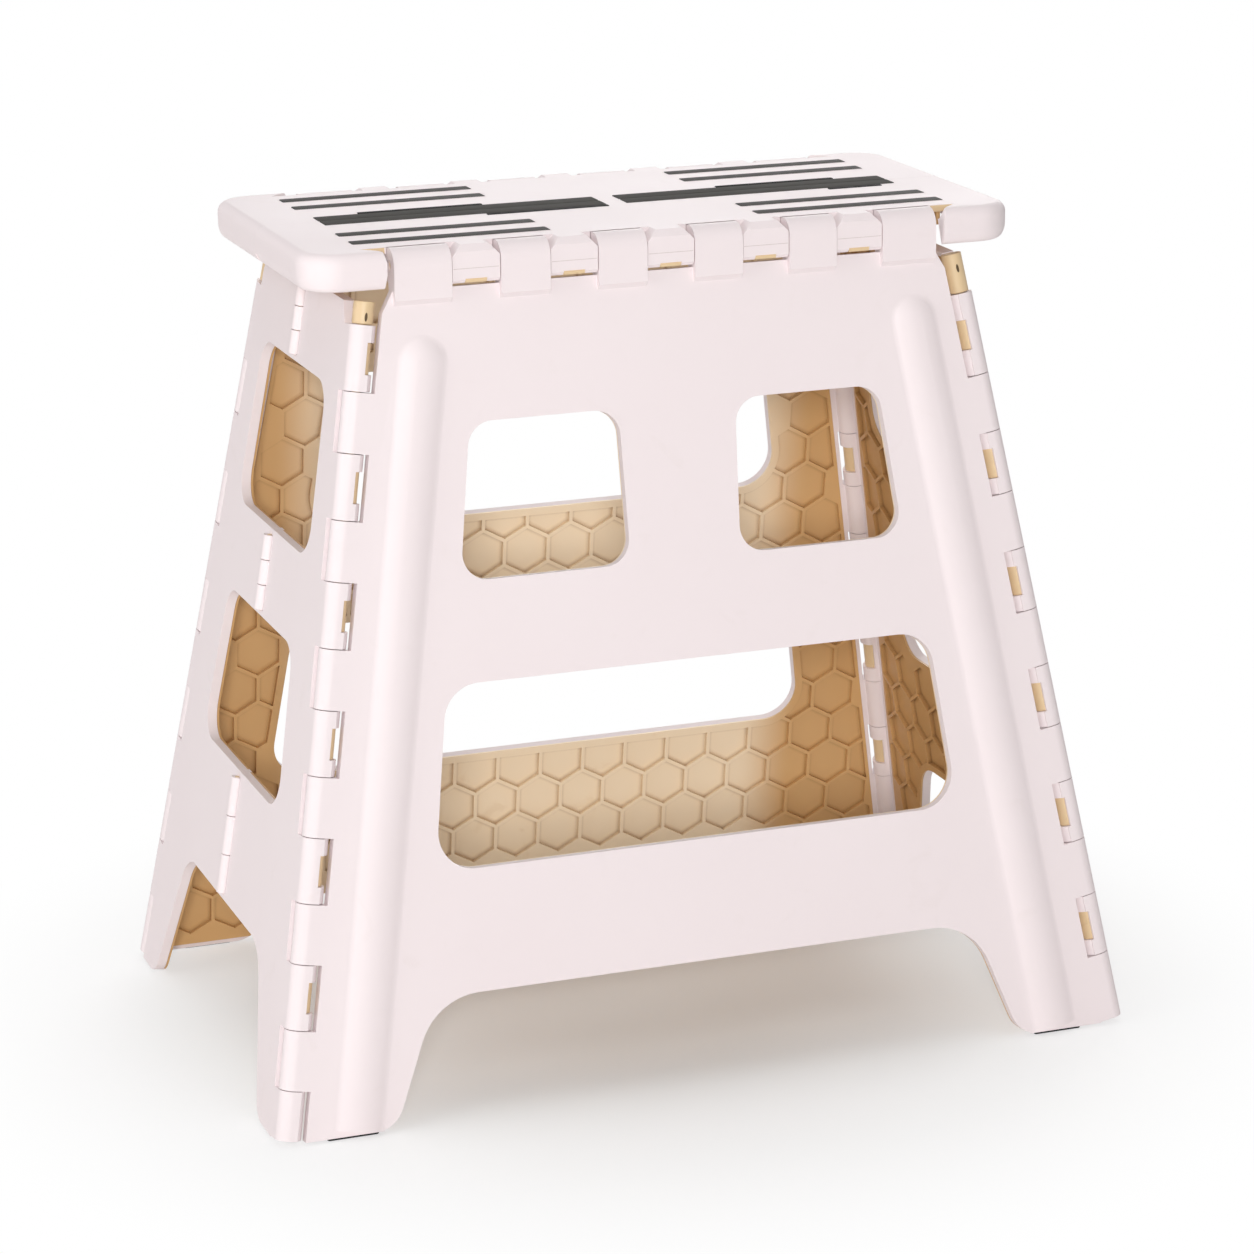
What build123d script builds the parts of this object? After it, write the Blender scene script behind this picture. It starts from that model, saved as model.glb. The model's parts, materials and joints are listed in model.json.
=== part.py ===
from build123d import *
import os
from math import copysign, hypot, sqrt

# Stance of the open stool
SEAT_HEIGHT = 390.0  # floor to the seat's top face
HALF_LENGTH = 203.5  # corner hinge axis to the middle, along the length, at the floor
HALF_DEPTH = 127.9  # corner hinge axis to the middle, along the depth, at the floor
END_LEAN = 0.1706  # inward run of an end panel for each unit of height
FRONT_LEAN = 0.1492  # inward run of a front or back panel for each unit of height
FOOT_LIFT = 0.5  # the moulded feet stop this far above the floor, on rubber pads

# Panel walls, measured outwards from the plane that holds the corner hinge axes
PANEL_T = 6.0
SKIN_T = 2.4
FLANGE_W = 2.0
FACE_GAP = 0.3  # keeps folded panels apart, on each side of the hinge plane
LINER_GAP = 0.1
LINER_BASE = 1.1
RIB_W = 1.7
CELL_ACROSS = 21.3  # honeycomb cell, flat to flat
LEAST_CELL = 130.0  # smallest clipped cell that is cut, as an area
LINER_LIP = 1.0  # the liner laps over the flanges round the windows

# Corner hinges
BARREL_R = 6.0
AXIS_TO_PANEL = 6.9  # hinge axis to the panel's edge, where the slots end
LUG_H = 28.5
LUG_PITCH = 55.5
LUG_TOP_A = 342.6  # middle of the top lug at the front left and back right corners
LUG_TOP_B = 325.6  # the same at the other two corners
LUGS_A = 7
LUGS_B = 6
LONG_LUG = 9.0  # extra length on top of the first lug at the B corners
LUG_NOSE = 3.0  # flat face of a lug, past the hinge axis
LUG_NOTCH = 1.6  # the same where the notch shows the rod's collar
HINGE_GAP = 0.4  # end gap between neighbouring knuckles
ROD_R = 2.0
ROD_RUN = 0.06  # running clearance of a rod in its bores
COLLAR_R = 4.7
COLLAR_L = 14.0
COLLAR_ROOM = 0.1
ROD_LIFT = 4.0  # lower end of a corner rod above the floor
POST_TOP = 367.0  # upper end of the sleeve on a corner rod, above the top lug

# Front and back panel, with heights measured on the outer face; windows are low, high and half widths
PANEL_TOP = 371.5
SHOULDER_H = 362.0
FRONT_ARCH_H = 58.0
BACK_ARCH_H = 22.0
ARCH_TOP_HALF = 132.0
ARCH_FOOT_HALF = 154.0
ARCH_R = 30.0
FOOT_R = 14.0
UPPER_WINDOW_LOW = 241.8
UPPER_WINDOW_HIGH = 311.7
UPPER_WINDOW_IN_LOW = 26.5
UPPER_WINDOW_IN_HIGH = 28.1
UPPER_WINDOW_OUT_LOW = 107.2
UPPER_WINDOW_OUT_HIGH = 98.3
UPPER_WINDOW_R = 12.0
LOWER_WINDOW_LOW = 113.9
LOWER_WINDOW_HIGH = 196.6
LOWER_WINDOW_HALF_LOW = 127.8
LOWER_WINDOW_HALF_HIGH = 117.1
BACK_UPPER_LOW = 221.0
BACK_UPPER_HIGH = 300.0
BACK_UPPER_HALF_LOW = 122.0
BACK_UPPER_HALF_HIGH = 110.0
BACK_LOWER_LOW = 90.0
BACK_LOWER_HIGH = 170.0
BACK_LOWER_HALF_LOW = 143.0
BACK_LOWER_HALF_HIGH = 131.0
LOWER_WINDOW_R = 17.0
PILLAR_FOOT = 172.0  # middle of a pillar at the floor
PILLAR_LEAN = 0.1577
PILLAR_HALF_W = 12.0
PILLAR_BULGE = 3.5
PILLAR_TOP = 340.0

# End panels, each in two halves
END_TOP = 366.0
END_SHOULDER = 9.0  # the corner above the top lug is cut back by this much
SEAM_HALF_GAP = 0.2
END_ARCH_H = 72.0
END_ARCH_TOP_HALF = 66.0
END_ARCH_FOOT_HALF = 97.0
END_ARCH_R = 22.0
END_FOOT_R = 12.0
END_WINDOWS = ((249.0, 61.0, 327.0, 53.0), (134.0, 67.0, 208.0, 56.0))  # low, half width, high, half width
END_WINDOW_R = 14.0
CENTRE_R = 3.0
CENTRE_PIN_R = 1.3
CENTRE_LIFT = 0.3  # fold axis of the halves, above their outer face
CENTRE_SLACK = 0.55  # loose bore of the right hand fold, where the linkage is opened
CENTRE_BAND_INSET = 3.0
CENTRE_KNUCKLES = 3

# Seat
SEAT_HALF_LENGTH = 170.0
SEAT_HALF_DEPTH = 83.5
SEAT_CORNER_R = 18.0
RIM_H = 14.0
RIM_W = 4.0
RIM_TOP_R = 5.0
RIM_LOW_R = 4.0
SEAT_SKIN = 3.0
SEAT_RIB = 2.0
SEAT_RIBS = 6
SEAT_RIB_PITCH = 56.0
SEAT_RIB_LOW = 378.5
SEAT_SEAM_GAP = 0.1
EDGE_Y = 74.0  # seat edge hinge axis
EDGE_BARREL_R = 8.0
EDGE_GAP = 0.4
EDGE_BLOCK = 12.0  # solid strip behind the hinge axis
EDGE_ROD_R = 2.5
EDGE_COLLAR_R = 5.4
EDGE_COLLAR_L = 10.0
WIDE_END_W = 26.5
WIDE_W = 23.0
NARROW_W = 22.8
WIDE_COUNT = 6
BARREL_FACE_LOW = 361.5
BARREL_FOOT = 357.5
LUG_FRONT = 7.4
LUG_CHAMFER = 2.9
LUG_LOW_CHAMFER = 1.5
LUG_CORNER_W = 4.5  # slanted cut at a seat lug's upper corners
LUG_CORNER_H = 5.0
LUG_CORNER_BACK = 3.0
ROW_NOTCH_W = 9.0  # three cornered notch in the rim at each end of the hinge row
ROW_NOTCH_Y = (72.0, 80.5)
ROW_NOTCH_H = 5.0

# Seat seam
SEAM_LIP_LOW = 384.5
SEAM_END_CUT_H = 2.5
SEAM_END_CUT_W = 2.2
SEAM_R = 3.2
SEAM_ROD_R = 1.5
SEAM_WEB = 4.5
SEAM_SPAN = 300.0
SEAM_KNUCKLES = 10
HOOK_REACH = 6.0
HOOK_ARM = 2.5
HOOK_ROOM = 0.2
HOOK_T = 1.6

# Grip strips
STRIP_T = 0.9
STRIP_PROUD = 0.3
STRIP_FIT = 0.05
THIN_STRIPS = (57.5, 36.6)
THIN_STRIP_W = 8.5
THIN_STRIP_IN = 50.0
THIN_STRIP_OUT = 142.0
WIDE_STRIP_IN = 5.0
WIDE_STRIP_OUT = 140.0
WIDE_STRIP_Y = (0.4, 10.5)
EDGE_STRIP_Y = (11.4, 14.6)
EDGE_STRIPS = {"front": ((-64.0, -5.0), (105.0, 132.0)), "back": ((-118.0, -58.0), (58.0, 118.0))}

# Rubber foot pads
PAD_IN = 162.0
PAD_OUT = 186.0
PAD_Y = (1.0, 5.0)  # from the hinge plane, outwards
PAD_H = 5.0
PAD_FIT = 0.05

# Planes of the panels: x along the panel, y up its slope, z outwards, with the hinge axes at z = 0
FRONT = Plane(origin=(0, -HALF_DEPTH, 0), x_dir=(1, 0, 0), z_dir=(0, -1, FRONT_LEAN))
BACK = Plane(origin=(0, HALF_DEPTH, 0), x_dir=(-1, 0, 0), z_dir=(0, 1, FRONT_LEAN))
LEFT = Plane(origin=(-HALF_LENGTH, 0, 0), x_dir=(0, -1, 0), z_dir=(-1, 0, END_LEAN))
FRONT_COS = 1 / hypot(1, FRONT_LEAN)
END_COS = 1 / hypot(1, END_LEAN)
AXIS_STRETCH = sqrt(1 + END_LEAN**2 + FRONT_LEAN**2)
SKIN_BACK = PANEL_T - SKIN_T

# Seat hinge axes: the seam lies below the edges by what the folded panels need between them
EDGE_Z = SEAT_HEIGHT - EDGE_BARREL_R
EDGE_OFFSET = FRONT.to_local_coords(Vector(0, -EDGE_Y, EDGE_Z)).Z
SEAM_Z = EDGE_Z - EDGE_OFFSET - PANEL_T - CENTRE_LIFT
RIM_LOW = SEAT_HEIGHT - RIM_H
SKIN_LOW = SEAT_HEIGHT - SEAT_SKIN
LUG_CUT_PLANE = Plane(origin=(0, -EDGE_Y + LUG_CORNER_BACK, 0), x_dir=(1, 0, 0), z_dir=(0, -1, 0))


def front_v(height):
    """Distance up the front panel's slope of a height on its outer face."""
    return (height - PANEL_T * FRONT_LEAN * FRONT_COS) / FRONT_COS


def end_v(height):
    """Distance up an end panel's slope of a height on its outer face."""
    return (height - PANEL_T * END_LEAN * END_COS) / END_COS


def front_edge(v):
    """Half width of the front panel at a distance up its slope."""
    slope = END_LEAN * FRONT_COS
    return HALF_LENGTH - slope * v - AXIS_TO_PANEL * hypot(1, slope)


def end_edge(v):
    """Half width of an end panel at a distance up its slope."""
    slope = FRONT_LEAN * END_COS
    return HALF_DEPTH - slope * v - AXIS_TO_PANEL * hypot(1, slope)


def corner_plane(x_side, y_side, panel):
    """Plane square to a corner's hinge axis at the floor, with x running into the given panel."""
    axis = Vector(-x_side * END_LEAN, -y_side * FRONT_LEAN, 1).normalized()
    inward = axis.cross(panel.z_dir)
    inward = inward * copysign(1, inward.dot(Vector(-x_side, -y_side, 0)))
    return Plane(origin=(x_side * HALF_LENGTH, y_side * HALF_DEPTH, 0), x_dir=inward, z_dir=axis)


def lug_spans(top, count, extra):
    """Low and high ends of the side lugs along a corner axis, from the top down."""
    spans = []
    for index in range(count):
        middle = top - index * LUG_PITCH
        high = middle + LUG_H / 2 + (extra if index == 0 else 0)
        low = max(middle - LUG_H / 2, FOOT_LIFT + BARREL_R / 4)
        spans.append((low * AXIS_STRETCH, high * AXIS_STRETCH))
    return spans


def knuckle_spans(lugs):
    """Spans of the front panel's knuckles, which fill the room between the lugs and under them."""
    floor = (FOOT_LIFT + BARREL_R / 4) * AXIS_STRETCH
    lows = [high + HINGE_GAP for low, high in lugs[1:]]
    spans = [(low, lug[0] - HINGE_GAP) for low, lug in zip(lows, lugs)]
    if lugs[-1][0] - HINGE_GAP - floor > BARREL_R:
        spans.append((floor, lugs[-1][0] - HINGE_GAP))
    return spans


def barrels(plane, panel, spans):
    """Round barrels on a corner axis, each with a web that runs into the panel's edge."""
    side = copysign(1, plane.y_dir.dot(panel.z_dir))
    reach = AXIS_TO_PANEL + FLANGE_W * 0.9
    with BuildPart() as group:
        for low, high in spans:
            with BuildSketch(plane.offset(low)):
                Circle(BARREL_R)
                with Locations((reach / 2, side * (PANEL_T + FACE_GAP) / 2)):
                    Rectangle(reach, PANEL_T - FACE_GAP)
            extrude(amount=high - low)
    return group.part


def bars(plane, radius, spans):
    """Round bars along the plane's normal, one for each span."""
    with BuildPart() as group:
        for low, high in spans:
            with BuildSketch(plane.offset(low)):
                Circle(radius)
            extrude(amount=high - low)
    return group.part


def middle_spans(spans, length):
    """A span of the given length at the middle of each span."""
    return [((low + high - length) / 2, (low + high + length) / 2) for low, high in spans]


def whole_lugs(spans):
    """Lugs tall enough to carry a collar."""
    return [span for span in spans if span[1] - span[0] > LUG_H * 0.9]


def side_lugs(x_side, y_side, panel, face, spans):
    """Lugs of an end panel: flat nosed barrels, notched where the rod's collar shows."""
    nose_plane = corner_plane(x_side, y_side, face)
    side = copysign(1, nose_plane.y_dir.dot(face.z_dir))
    collars = middle_spans(whole_lugs(spans), COLLAR_L + 2 * COLLAR_ROOM)
    with BuildPart() as lugs:
        add(barrels(corner_plane(x_side, y_side, panel), panel, spans))
        for low, high in spans:
            with BuildSketch(nose_plane.offset(low)):
                with Locations((LUG_NOSE / 2, side * PANEL_T / 2)):
                    Rectangle(LUG_NOSE, PANEL_T)
            extrude(amount=high - low)
        for low, high in collars:
            with BuildSketch(nose_plane.offset(low)):
                with Locations((LUG_NOTCH + BARREL_R, 0)):
                    Rectangle(2 * BARREL_R, 4 * BARREL_R)
                Circle(COLLAR_R + COLLAR_ROOM)
            extrude(amount=high - low, mode=Mode.SUBTRACT)
        add(bars(nose_plane, ROD_R + ROD_RUN, [(0, spans[0][1] + 1)]), mode=Mode.SUBTRACT)
    return lugs.part


def corner_rod(x_side, y_side, face, spans):
    """Hinge rod of a corner, with a collar inside each lug and a sleeve above the top one."""
    plane = corner_plane(x_side, y_side, face)
    with BuildPart() as rod:
        add(bars(plane, ROD_R, [(ROD_LIFT * AXIS_STRETCH, POST_TOP * AXIS_STRETCH)]))
        add(bars(plane, COLLAR_R, middle_spans(whole_lugs(spans), COLLAR_L)))
        add(bars(plane, COLLAR_R, [(spans[0][1] + HINGE_GAP, POST_TOP * AXIS_STRETCH)]))
    return rod.part


def lip_face(face, outline):
    """Part of a panel that its liner covers: up to the windows and the arch, but short of the outer edges."""
    with BuildSketch() as lip:
        add(outline)
        offset(amount=-FLANGE_W - LINER_GAP, kind=Kind.INTERSECTION, mode=Mode.REPLACE)
        add(face, mode=Mode.INTERSECT)
    return lip.sketch_local


def tray(plane, face, lip):
    """Moulded panel: an outer skin with a flange along its edge, and a lower one round its windows."""
    with BuildPart() as panel:
        with BuildSketch(plane.offset(FACE_GAP)):
            add(face)
        extrude(amount=PANEL_T - FACE_GAP)
        with BuildSketch(plane):
            add(face)
            offset(amount=-FLANGE_W, kind=Kind.INTERSECTION, mode=Mode.REPLACE)
        extrude(amount=SKIN_BACK, mode=Mode.SUBTRACT)
        with BuildSketch(plane):
            add(lip)
        extrude(amount=FACE_GAP + LINER_LIP + LINER_GAP, mode=Mode.SUBTRACT)
    return panel.part


def honeycomb(plane, face, lip):
    """Inner liner: a thin plate with honeycomb ribs, which laps over the flanges round the windows."""
    pitch = CELL_ACROSS + RIB_W
    row_pitch = pitch * sqrt(3) / 2
    with BuildSketch() as field:
        add(face)
        offset(amount=-FLANGE_W - LINER_GAP, kind=Kind.INTERSECTION, mode=Mode.REPLACE)
    box = face.bounding_box()
    rows = int(box.size.Y / row_pitch) + 2
    columns = int(box.size.X / pitch) + 2
    centres = []
    for row in range(rows):
        for column in range(columns):
            shift = pitch / 2 if row % 2 else 0
            centres.append((box.min.X + column * pitch + shift, box.min.Y + row * row_pitch))
    with BuildSketch() as cells:
        with Locations(*centres):
            RegularPolygon(CELL_ACROSS / 2, 6, major_radius=False, rotation=30)
        with BuildSketch(mode=Mode.INTERSECT):
            add(face)
            offset(amount=-FLANGE_W - LINER_GAP - RIB_W, kind=Kind.INTERSECTION, mode=Mode.REPLACE)
    kept = [cell for cell in cells.sketch_local.faces() if cell.area > LEAST_CELL]
    with BuildPart() as liner:
        with BuildSketch(plane.offset(FACE_GAP)):
            add(field.sketch_local)
        extrude(amount=SKIN_BACK - FACE_GAP)
        with BuildSketch(plane.offset(FACE_GAP)):
            add(lip)
        extrude(amount=LINER_LIP)
        with BuildSketch(plane.offset(FACE_GAP)):
            add(kept)
        extrude(amount=SKIN_BACK - FACE_GAP - LINER_BASE, mode=Mode.SUBTRACT)
    return liner.part


def seat_row(wide):
    """Spans along x of the seat edge's wide barrels, or of the narrow lugs between them."""
    widths = [WIDE_END_W] + [WIDE_W] * (WIDE_COUNT - 2) + [WIDE_END_W]
    row_half = (sum(widths) + NARROW_W * (WIDE_COUNT - 1)) / 2
    spans = []
    start = -row_half
    for width in widths:
        spans.append((start, start + width))
        start += width + NARROW_W
    if wide:
        return spans
    return [(left[1], right[0]) for left, right in zip(spans, spans[1:])]


def edge_bars(radius, spans):
    """Round bars on the seat's front edge hinge axis."""
    return bars(Plane(origin=(0, -EDGE_Y, EDGE_Z), x_dir=(0, 1, 0), z_dir=(1, 0, 0)), radius, spans)


# Front and back panel outlines, with their arches and windows
row_half = seat_row(True)[-1][1]
foot_v = FOOT_LIFT / FRONT_COS
shoulder_v = front_v(SHOULDER_H)
with BuildSketch() as panel_outline:
    with BuildLine():
        Polyline(
            (-front_edge(foot_v), foot_v),
            (front_edge(foot_v), foot_v),
            (front_edge(shoulder_v), shoulder_v),
            (row_half, front_v(PANEL_TOP)),
            (-row_half, front_v(PANEL_TOP)),
            (-front_edge(shoulder_v), shoulder_v),
            close=True,
        )
    make_face()


def window(corners, radius):
    """A window of a front or back panel, from its corners as distance along the panel and height."""
    with BuildSketch() as opening:
        with BuildLine():
            Polyline(*[(x, front_v(height)) for x, height in corners], close=True)
        make_face()
        fillet(opening.vertices(), radius)
    return opening.sketch_local


def level_window(low, high, half_low, half_high):
    """A window across the middle of a panel, narrower at its top."""
    return window([(-half_low, low), (half_low, low), (half_high, high), (-half_high, high)], LOWER_WINDOW_R)


def small_window(side):
    """One of the two upper windows of the front panel."""
    corners = [
        (side * UPPER_WINDOW_IN_LOW, UPPER_WINDOW_LOW),
        (side * UPPER_WINDOW_OUT_LOW, UPPER_WINDOW_LOW),
        (side * UPPER_WINDOW_OUT_HIGH, UPPER_WINDOW_HIGH),
        (side * UPPER_WINDOW_IN_HIGH, UPPER_WINDOW_HIGH),
    ]
    return window(corners, UPPER_WINDOW_R)


def panel_face(arch_height, windows):
    """Face of a front or back panel: its outline less the arch between the legs and the windows."""
    with BuildSketch() as face:
        add(panel_outline.sketch_local)
        with BuildSketch(mode=Mode.SUBTRACT):
            with BuildLine():
                Polyline(
                    (-ARCH_FOOT_HALF, foot_v),
                    (-ARCH_TOP_HALF, front_v(arch_height)),
                    (ARCH_TOP_HALF, front_v(arch_height)),
                    (ARCH_FOOT_HALF, foot_v),
                    close=True,
                )
            make_face()
        fillet(face.vertices().group_by(Axis.Y)[0].sort_by(Axis.X)[1:3], FOOT_R)
        fillet(face.vertices().filter_by(lambda corner: abs(corner.Y - front_v(arch_height)) < 0.01), ARCH_R)
        for opening in windows:
            add(opening, mode=Mode.SUBTRACT)
    return face.sketch_local


front_face = panel_face(
    FRONT_ARCH_H,
    [
        small_window(-1),
        small_window(1),
        level_window(LOWER_WINDOW_LOW, LOWER_WINDOW_HIGH, LOWER_WINDOW_HALF_LOW, LOWER_WINDOW_HALF_HIGH),
    ],
)
back_face = panel_face(
    BACK_ARCH_H,
    [
        level_window(BACK_UPPER_LOW, BACK_UPPER_HIGH, BACK_UPPER_HALF_LOW, BACK_UPPER_HALF_HIGH),
        level_window(BACK_LOWER_LOW, BACK_LOWER_HIGH, BACK_LOWER_HALF_LOW, BACK_LOWER_HALF_HIGH),
    ],
)

# Lugs at the two kinds of corner
lugs_a = lug_spans(LUG_TOP_A, LUGS_A, 0)
lugs_b = lug_spans(LUG_TOP_B, LUGS_B, LONG_LUG)


def pillar_profile():
    """Section of a pillar: x across it and y out of the panel's face, with its root in the skin."""
    with BuildSketch() as profile:
        with BuildLine():
            ThreePointArc((-PILLAR_HALF_W, 0), (0, PILLAR_BULGE), (PILLAR_HALF_W, 0))
            Polyline(
                (PILLAR_HALF_W, 0),
                (PILLAR_HALF_W, -SKIN_T / 2),
                (-PILLAR_HALF_W, -SKIN_T / 2),
                (-PILLAR_HALF_W, 0),
            )
        make_face()
    return profile.sketch_local


def pillar(side):
    """Rounded rib up the outer face of the front panel, with a domed top."""
    foot = FRONT.from_local_coords(Vector(side * PILLAR_FOOT, 0, PANEL_T))
    top_v = front_v(PILLAR_TOP)
    top = FRONT.from_local_coords(Vector(side * (PILLAR_FOOT - PILLAR_LEAN * top_v), top_v, PANEL_T))
    along = (top - foot).normalized()
    across = FRONT.z_dir.cross(along)
    low = foot + along * (foot_v + PILLAR_HALF_W * PILLAR_LEAN)
    with BuildPart() as rib:
        with BuildSketch(Plane(origin=low, x_dir=across, z_dir=along)):
            add(pillar_profile())
        extrude(amount=(top - low).length)
        with BuildSketch(Plane(origin=top, x_dir=across, z_dir=along)):
            add(pillar_profile())
            split(bisect_by=Plane.YZ)
        revolve(axis=Axis(top, FRONT.z_dir))
    return rib.part


def panel_pads(side, fit):
    """Room for a rubber pad in a leg's foot, or the pad itself with no fit."""
    with BuildPart() as pad:
        with BuildSketch(Plane.XY):
            with Locations((side * (PAD_IN + PAD_OUT) / 2, -HALF_DEPTH - (PAD_Y[0] + PAD_Y[1]) / 2)):
                Rectangle(PAD_OUT - PAD_IN + 2 * fit, PAD_Y[1] - PAD_Y[0] + 2 * fit)
        extrude(amount=PAD_H)
    return pad.part


def panel_shell(face, lip):
    """Shell of a front or back panel in the front place: tray, corner knuckles, seat barrels and pillars."""
    skin_low = FRONT.from_local_coords(Vector(0, front_v(BARREL_FOOT), PANEL_T - SKIN_T / 2))
    skin_high = FRONT.from_local_coords(Vector(0, front_v(PANEL_TOP) - FLANGE_W / 2, PANEL_T - SKIN_T / 2))
    flange_low = FRONT.from_local_coords(Vector(0, front_v(PANEL_TOP) - FLANGE_W / 2, FACE_GAP))
    flange_high = FRONT.from_local_coords(Vector(0, front_v(EDGE_Z), FACE_GAP))
    face_y = -EDGE_Y - EDGE_BARREL_R
    with BuildPart() as shell:
        add(tray(FRONT, face, lip))
        add(pillar(-1))
        add(pillar(1))
        for x_side, lugs in ((-1, lugs_a), (1, lugs_b)):
            corner = corner_plane(x_side, -1, FRONT)
            add(barrels(corner, FRONT, knuckle_spans(lugs)))
            add(bars(corner, ROD_R + ROD_RUN, [(0, lugs[0][1])]), mode=Mode.SUBTRACT)
        for left, right in seat_row(True):
            with BuildSketch(Plane.YZ.offset(left)):
                with BuildLine():
                    Polyline(
                        (face_y, EDGE_Z),
                        (face_y, BARREL_FACE_LOW),
                        (skin_low.Y, skin_low.Z),
                        (skin_high.Y, skin_high.Z),
                        (flange_low.Y, flange_low.Z),
                        (flange_high.Y, flange_high.Z),
                        (-EDGE_Y, EDGE_Z),
                        close=True,
                    )
                make_face()
                with Locations((-EDGE_Y, EDGE_Z)):
                    Circle(EDGE_BARREL_R)
            extrude(amount=right - left)
        add(edge_bars(EDGE_ROD_R + ROD_RUN, [(-row_half - 1, row_half + 1)]), mode=Mode.SUBTRACT)
        for side in (-1, 1):
            add(panel_pads(side, PAD_FIT), mode=Mode.SUBTRACT)
    return shell.part


def panel_liner(face, lip):
    """Honeycomb liner of a front or back panel in the front place, cut clear of the foot pads."""
    with BuildPart() as liner:
        add(honeycomb(FRONT, face, lip))
        for side in (-1, 1):
            add(panel_pads(side, LINER_GAP), mode=Mode.SUBTRACT)
    return liner.part


front_lip = lip_face(front_face, panel_outline.sketch_local)
back_lip = lip_face(back_face, panel_outline.sketch_local)

# End panel half: x_dir of the left plane runs to the front, so the front half has side 1
end_foot = FOOT_LIFT / END_COS
end_top_v = end_v(END_TOP)
with BuildSketch() as half_outline:
    with BuildLine():
        Polyline(
            (end_edge(end_foot), end_foot),
            (SEAM_HALF_GAP, end_foot),
            (SEAM_HALF_GAP, end_top_v),
            (end_edge(end_top_v) - END_SHOULDER / 2, end_top_v),
            (end_edge(end_v(END_TOP - END_SHOULDER)), end_v(END_TOP - END_SHOULDER)),
            close=True,
        )
    make_face()

with BuildSketch() as half_face:
    add(half_outline.sketch_local)
    with BuildSketch(mode=Mode.SUBTRACT):
        with BuildLine():
            Polyline(
                (-1, end_foot),
                (END_ARCH_FOOT_HALF, end_foot),
                (END_ARCH_TOP_HALF, end_v(END_ARCH_H)),
                (-1, end_v(END_ARCH_H)),
                close=True,
            )
        make_face()
    fillet(half_face.vertices().group_by(Axis.Y)[0].sort_by(Axis.X)[0], END_FOOT_R)
    arch_corners = half_face.vertices().filter_by(lambda corner: abs(corner.Y - end_v(END_ARCH_H)) < 0.01)
    fillet(arch_corners.sort_by(Axis.X)[-1], END_ARCH_R)
    for low, low_half, high, high_half in END_WINDOWS:
        with BuildSketch(mode=Mode.SUBTRACT) as half_window:
            with BuildLine():
                Polyline(
                    (-1, end_v(low)),
                    (low_half, end_v(low)),
                    (high_half, end_v(high)),
                    (-1, end_v(high)),
                    close=True,
                )
            make_face()
            fillet(half_window.vertices().filter_by(lambda corner: corner.X > 0), END_WINDOW_R)

half_lip = lip_face(half_face.sketch_local, half_outline.sketch_local)
half_faces = {-1: (half_face.sketch_local, half_lip)}
half_faces[1] = tuple(mirror(sketch, about=Plane.YZ) for sketch in half_faces[-1])

FOLD_AXIS = Plane(
    origin=LEFT.from_local_coords(Vector(0, 0, PANEL_T + CENTRE_LIFT)), x_dir=LEFT.x_dir, z_dir=LEFT.y_dir
)


def fold_bands():
    """Spans up the slope of the solid bands between the end panel's windows, where the halves are hinged."""
    edges = [END_ARCH_H]
    for low, low_half, high, high_half in reversed(END_WINDOWS):
        edges += [low, high]
    edges.append(END_TOP)
    bands = zip(edges[::2], edges[1::2])
    return [(end_v(low) + CENTRE_BAND_INSET, end_v(high) - CENTRE_BAND_INSET) for low, high in bands]


def fold_knuckles(odd, grow):
    """Spans of the fold's knuckles: the odd ones belong to the front half, the even ones to the back half."""
    spans = []
    for low, high in fold_bands():
        step = (high - low) / CENTRE_KNUCKLES
        inset = HINGE_GAP / 2 - grow
        for index in range(odd, CENTRE_KNUCKLES, 2):
            spans.append((low + index * step + inset, low + (index + 1) * step - inset))
    return spans


def side_shell(y_side, spans, bore):
    """Half of the left end panel, with its corner lugs and its share of the fold's knuckles."""
    odd = 1 if y_side < 0 else 0
    corner_face = FRONT if y_side < 0 else BACK
    with BuildPart() as shell:
        add(tray(LEFT, *half_faces[y_side]))
        add(bars(FOLD_AXIS, CENTRE_R + EDGE_GAP, fold_knuckles(1 - odd, HINGE_GAP)), mode=Mode.SUBTRACT)
        add(bars(FOLD_AXIS, CENTRE_R, fold_knuckles(odd, 0)))
        add(bars(FOLD_AXIS, bore, [(low - 1, high + 1) for low, high in fold_bands()]), mode=Mode.SUBTRACT)
        add(side_lugs(-1, y_side, LEFT, corner_face, spans))
    return shell.part


left_front_shell = side_shell(-1, lugs_a, CENTRE_PIN_R + ROD_RUN)
left_back_shell = side_shell(1, lugs_b, CENTRE_PIN_R + ROD_RUN)
loose_front_shell = side_shell(-1, lugs_a, CENTRE_PIN_R + CENTRE_SLACK)
left_front_liner = honeycomb(LEFT, *half_faces[-1])
left_back_liner = honeycomb(LEFT, *half_faces[1])
centre_pins = bars(FOLD_AXIS, CENTRE_PIN_R, fold_bands())


def strip_box(x_span, y_span, fit):
    """A grip strip of the front seat half, or its pocket in the seat with a fit."""
    with BuildPart() as strip:
        with BuildSketch(Plane.XY.offset(SEAT_HEIGHT + STRIP_PROUD - STRIP_T)):
            with Locations(((x_span[0] + x_span[1]) / 2, -(y_span[0] + y_span[1]) / 2)):
                Rectangle(x_span[1] - x_span[0] + 2 * fit, y_span[1] - y_span[0] + 2 * fit)
        extrude(amount=STRIP_T)
    return strip.part


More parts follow.
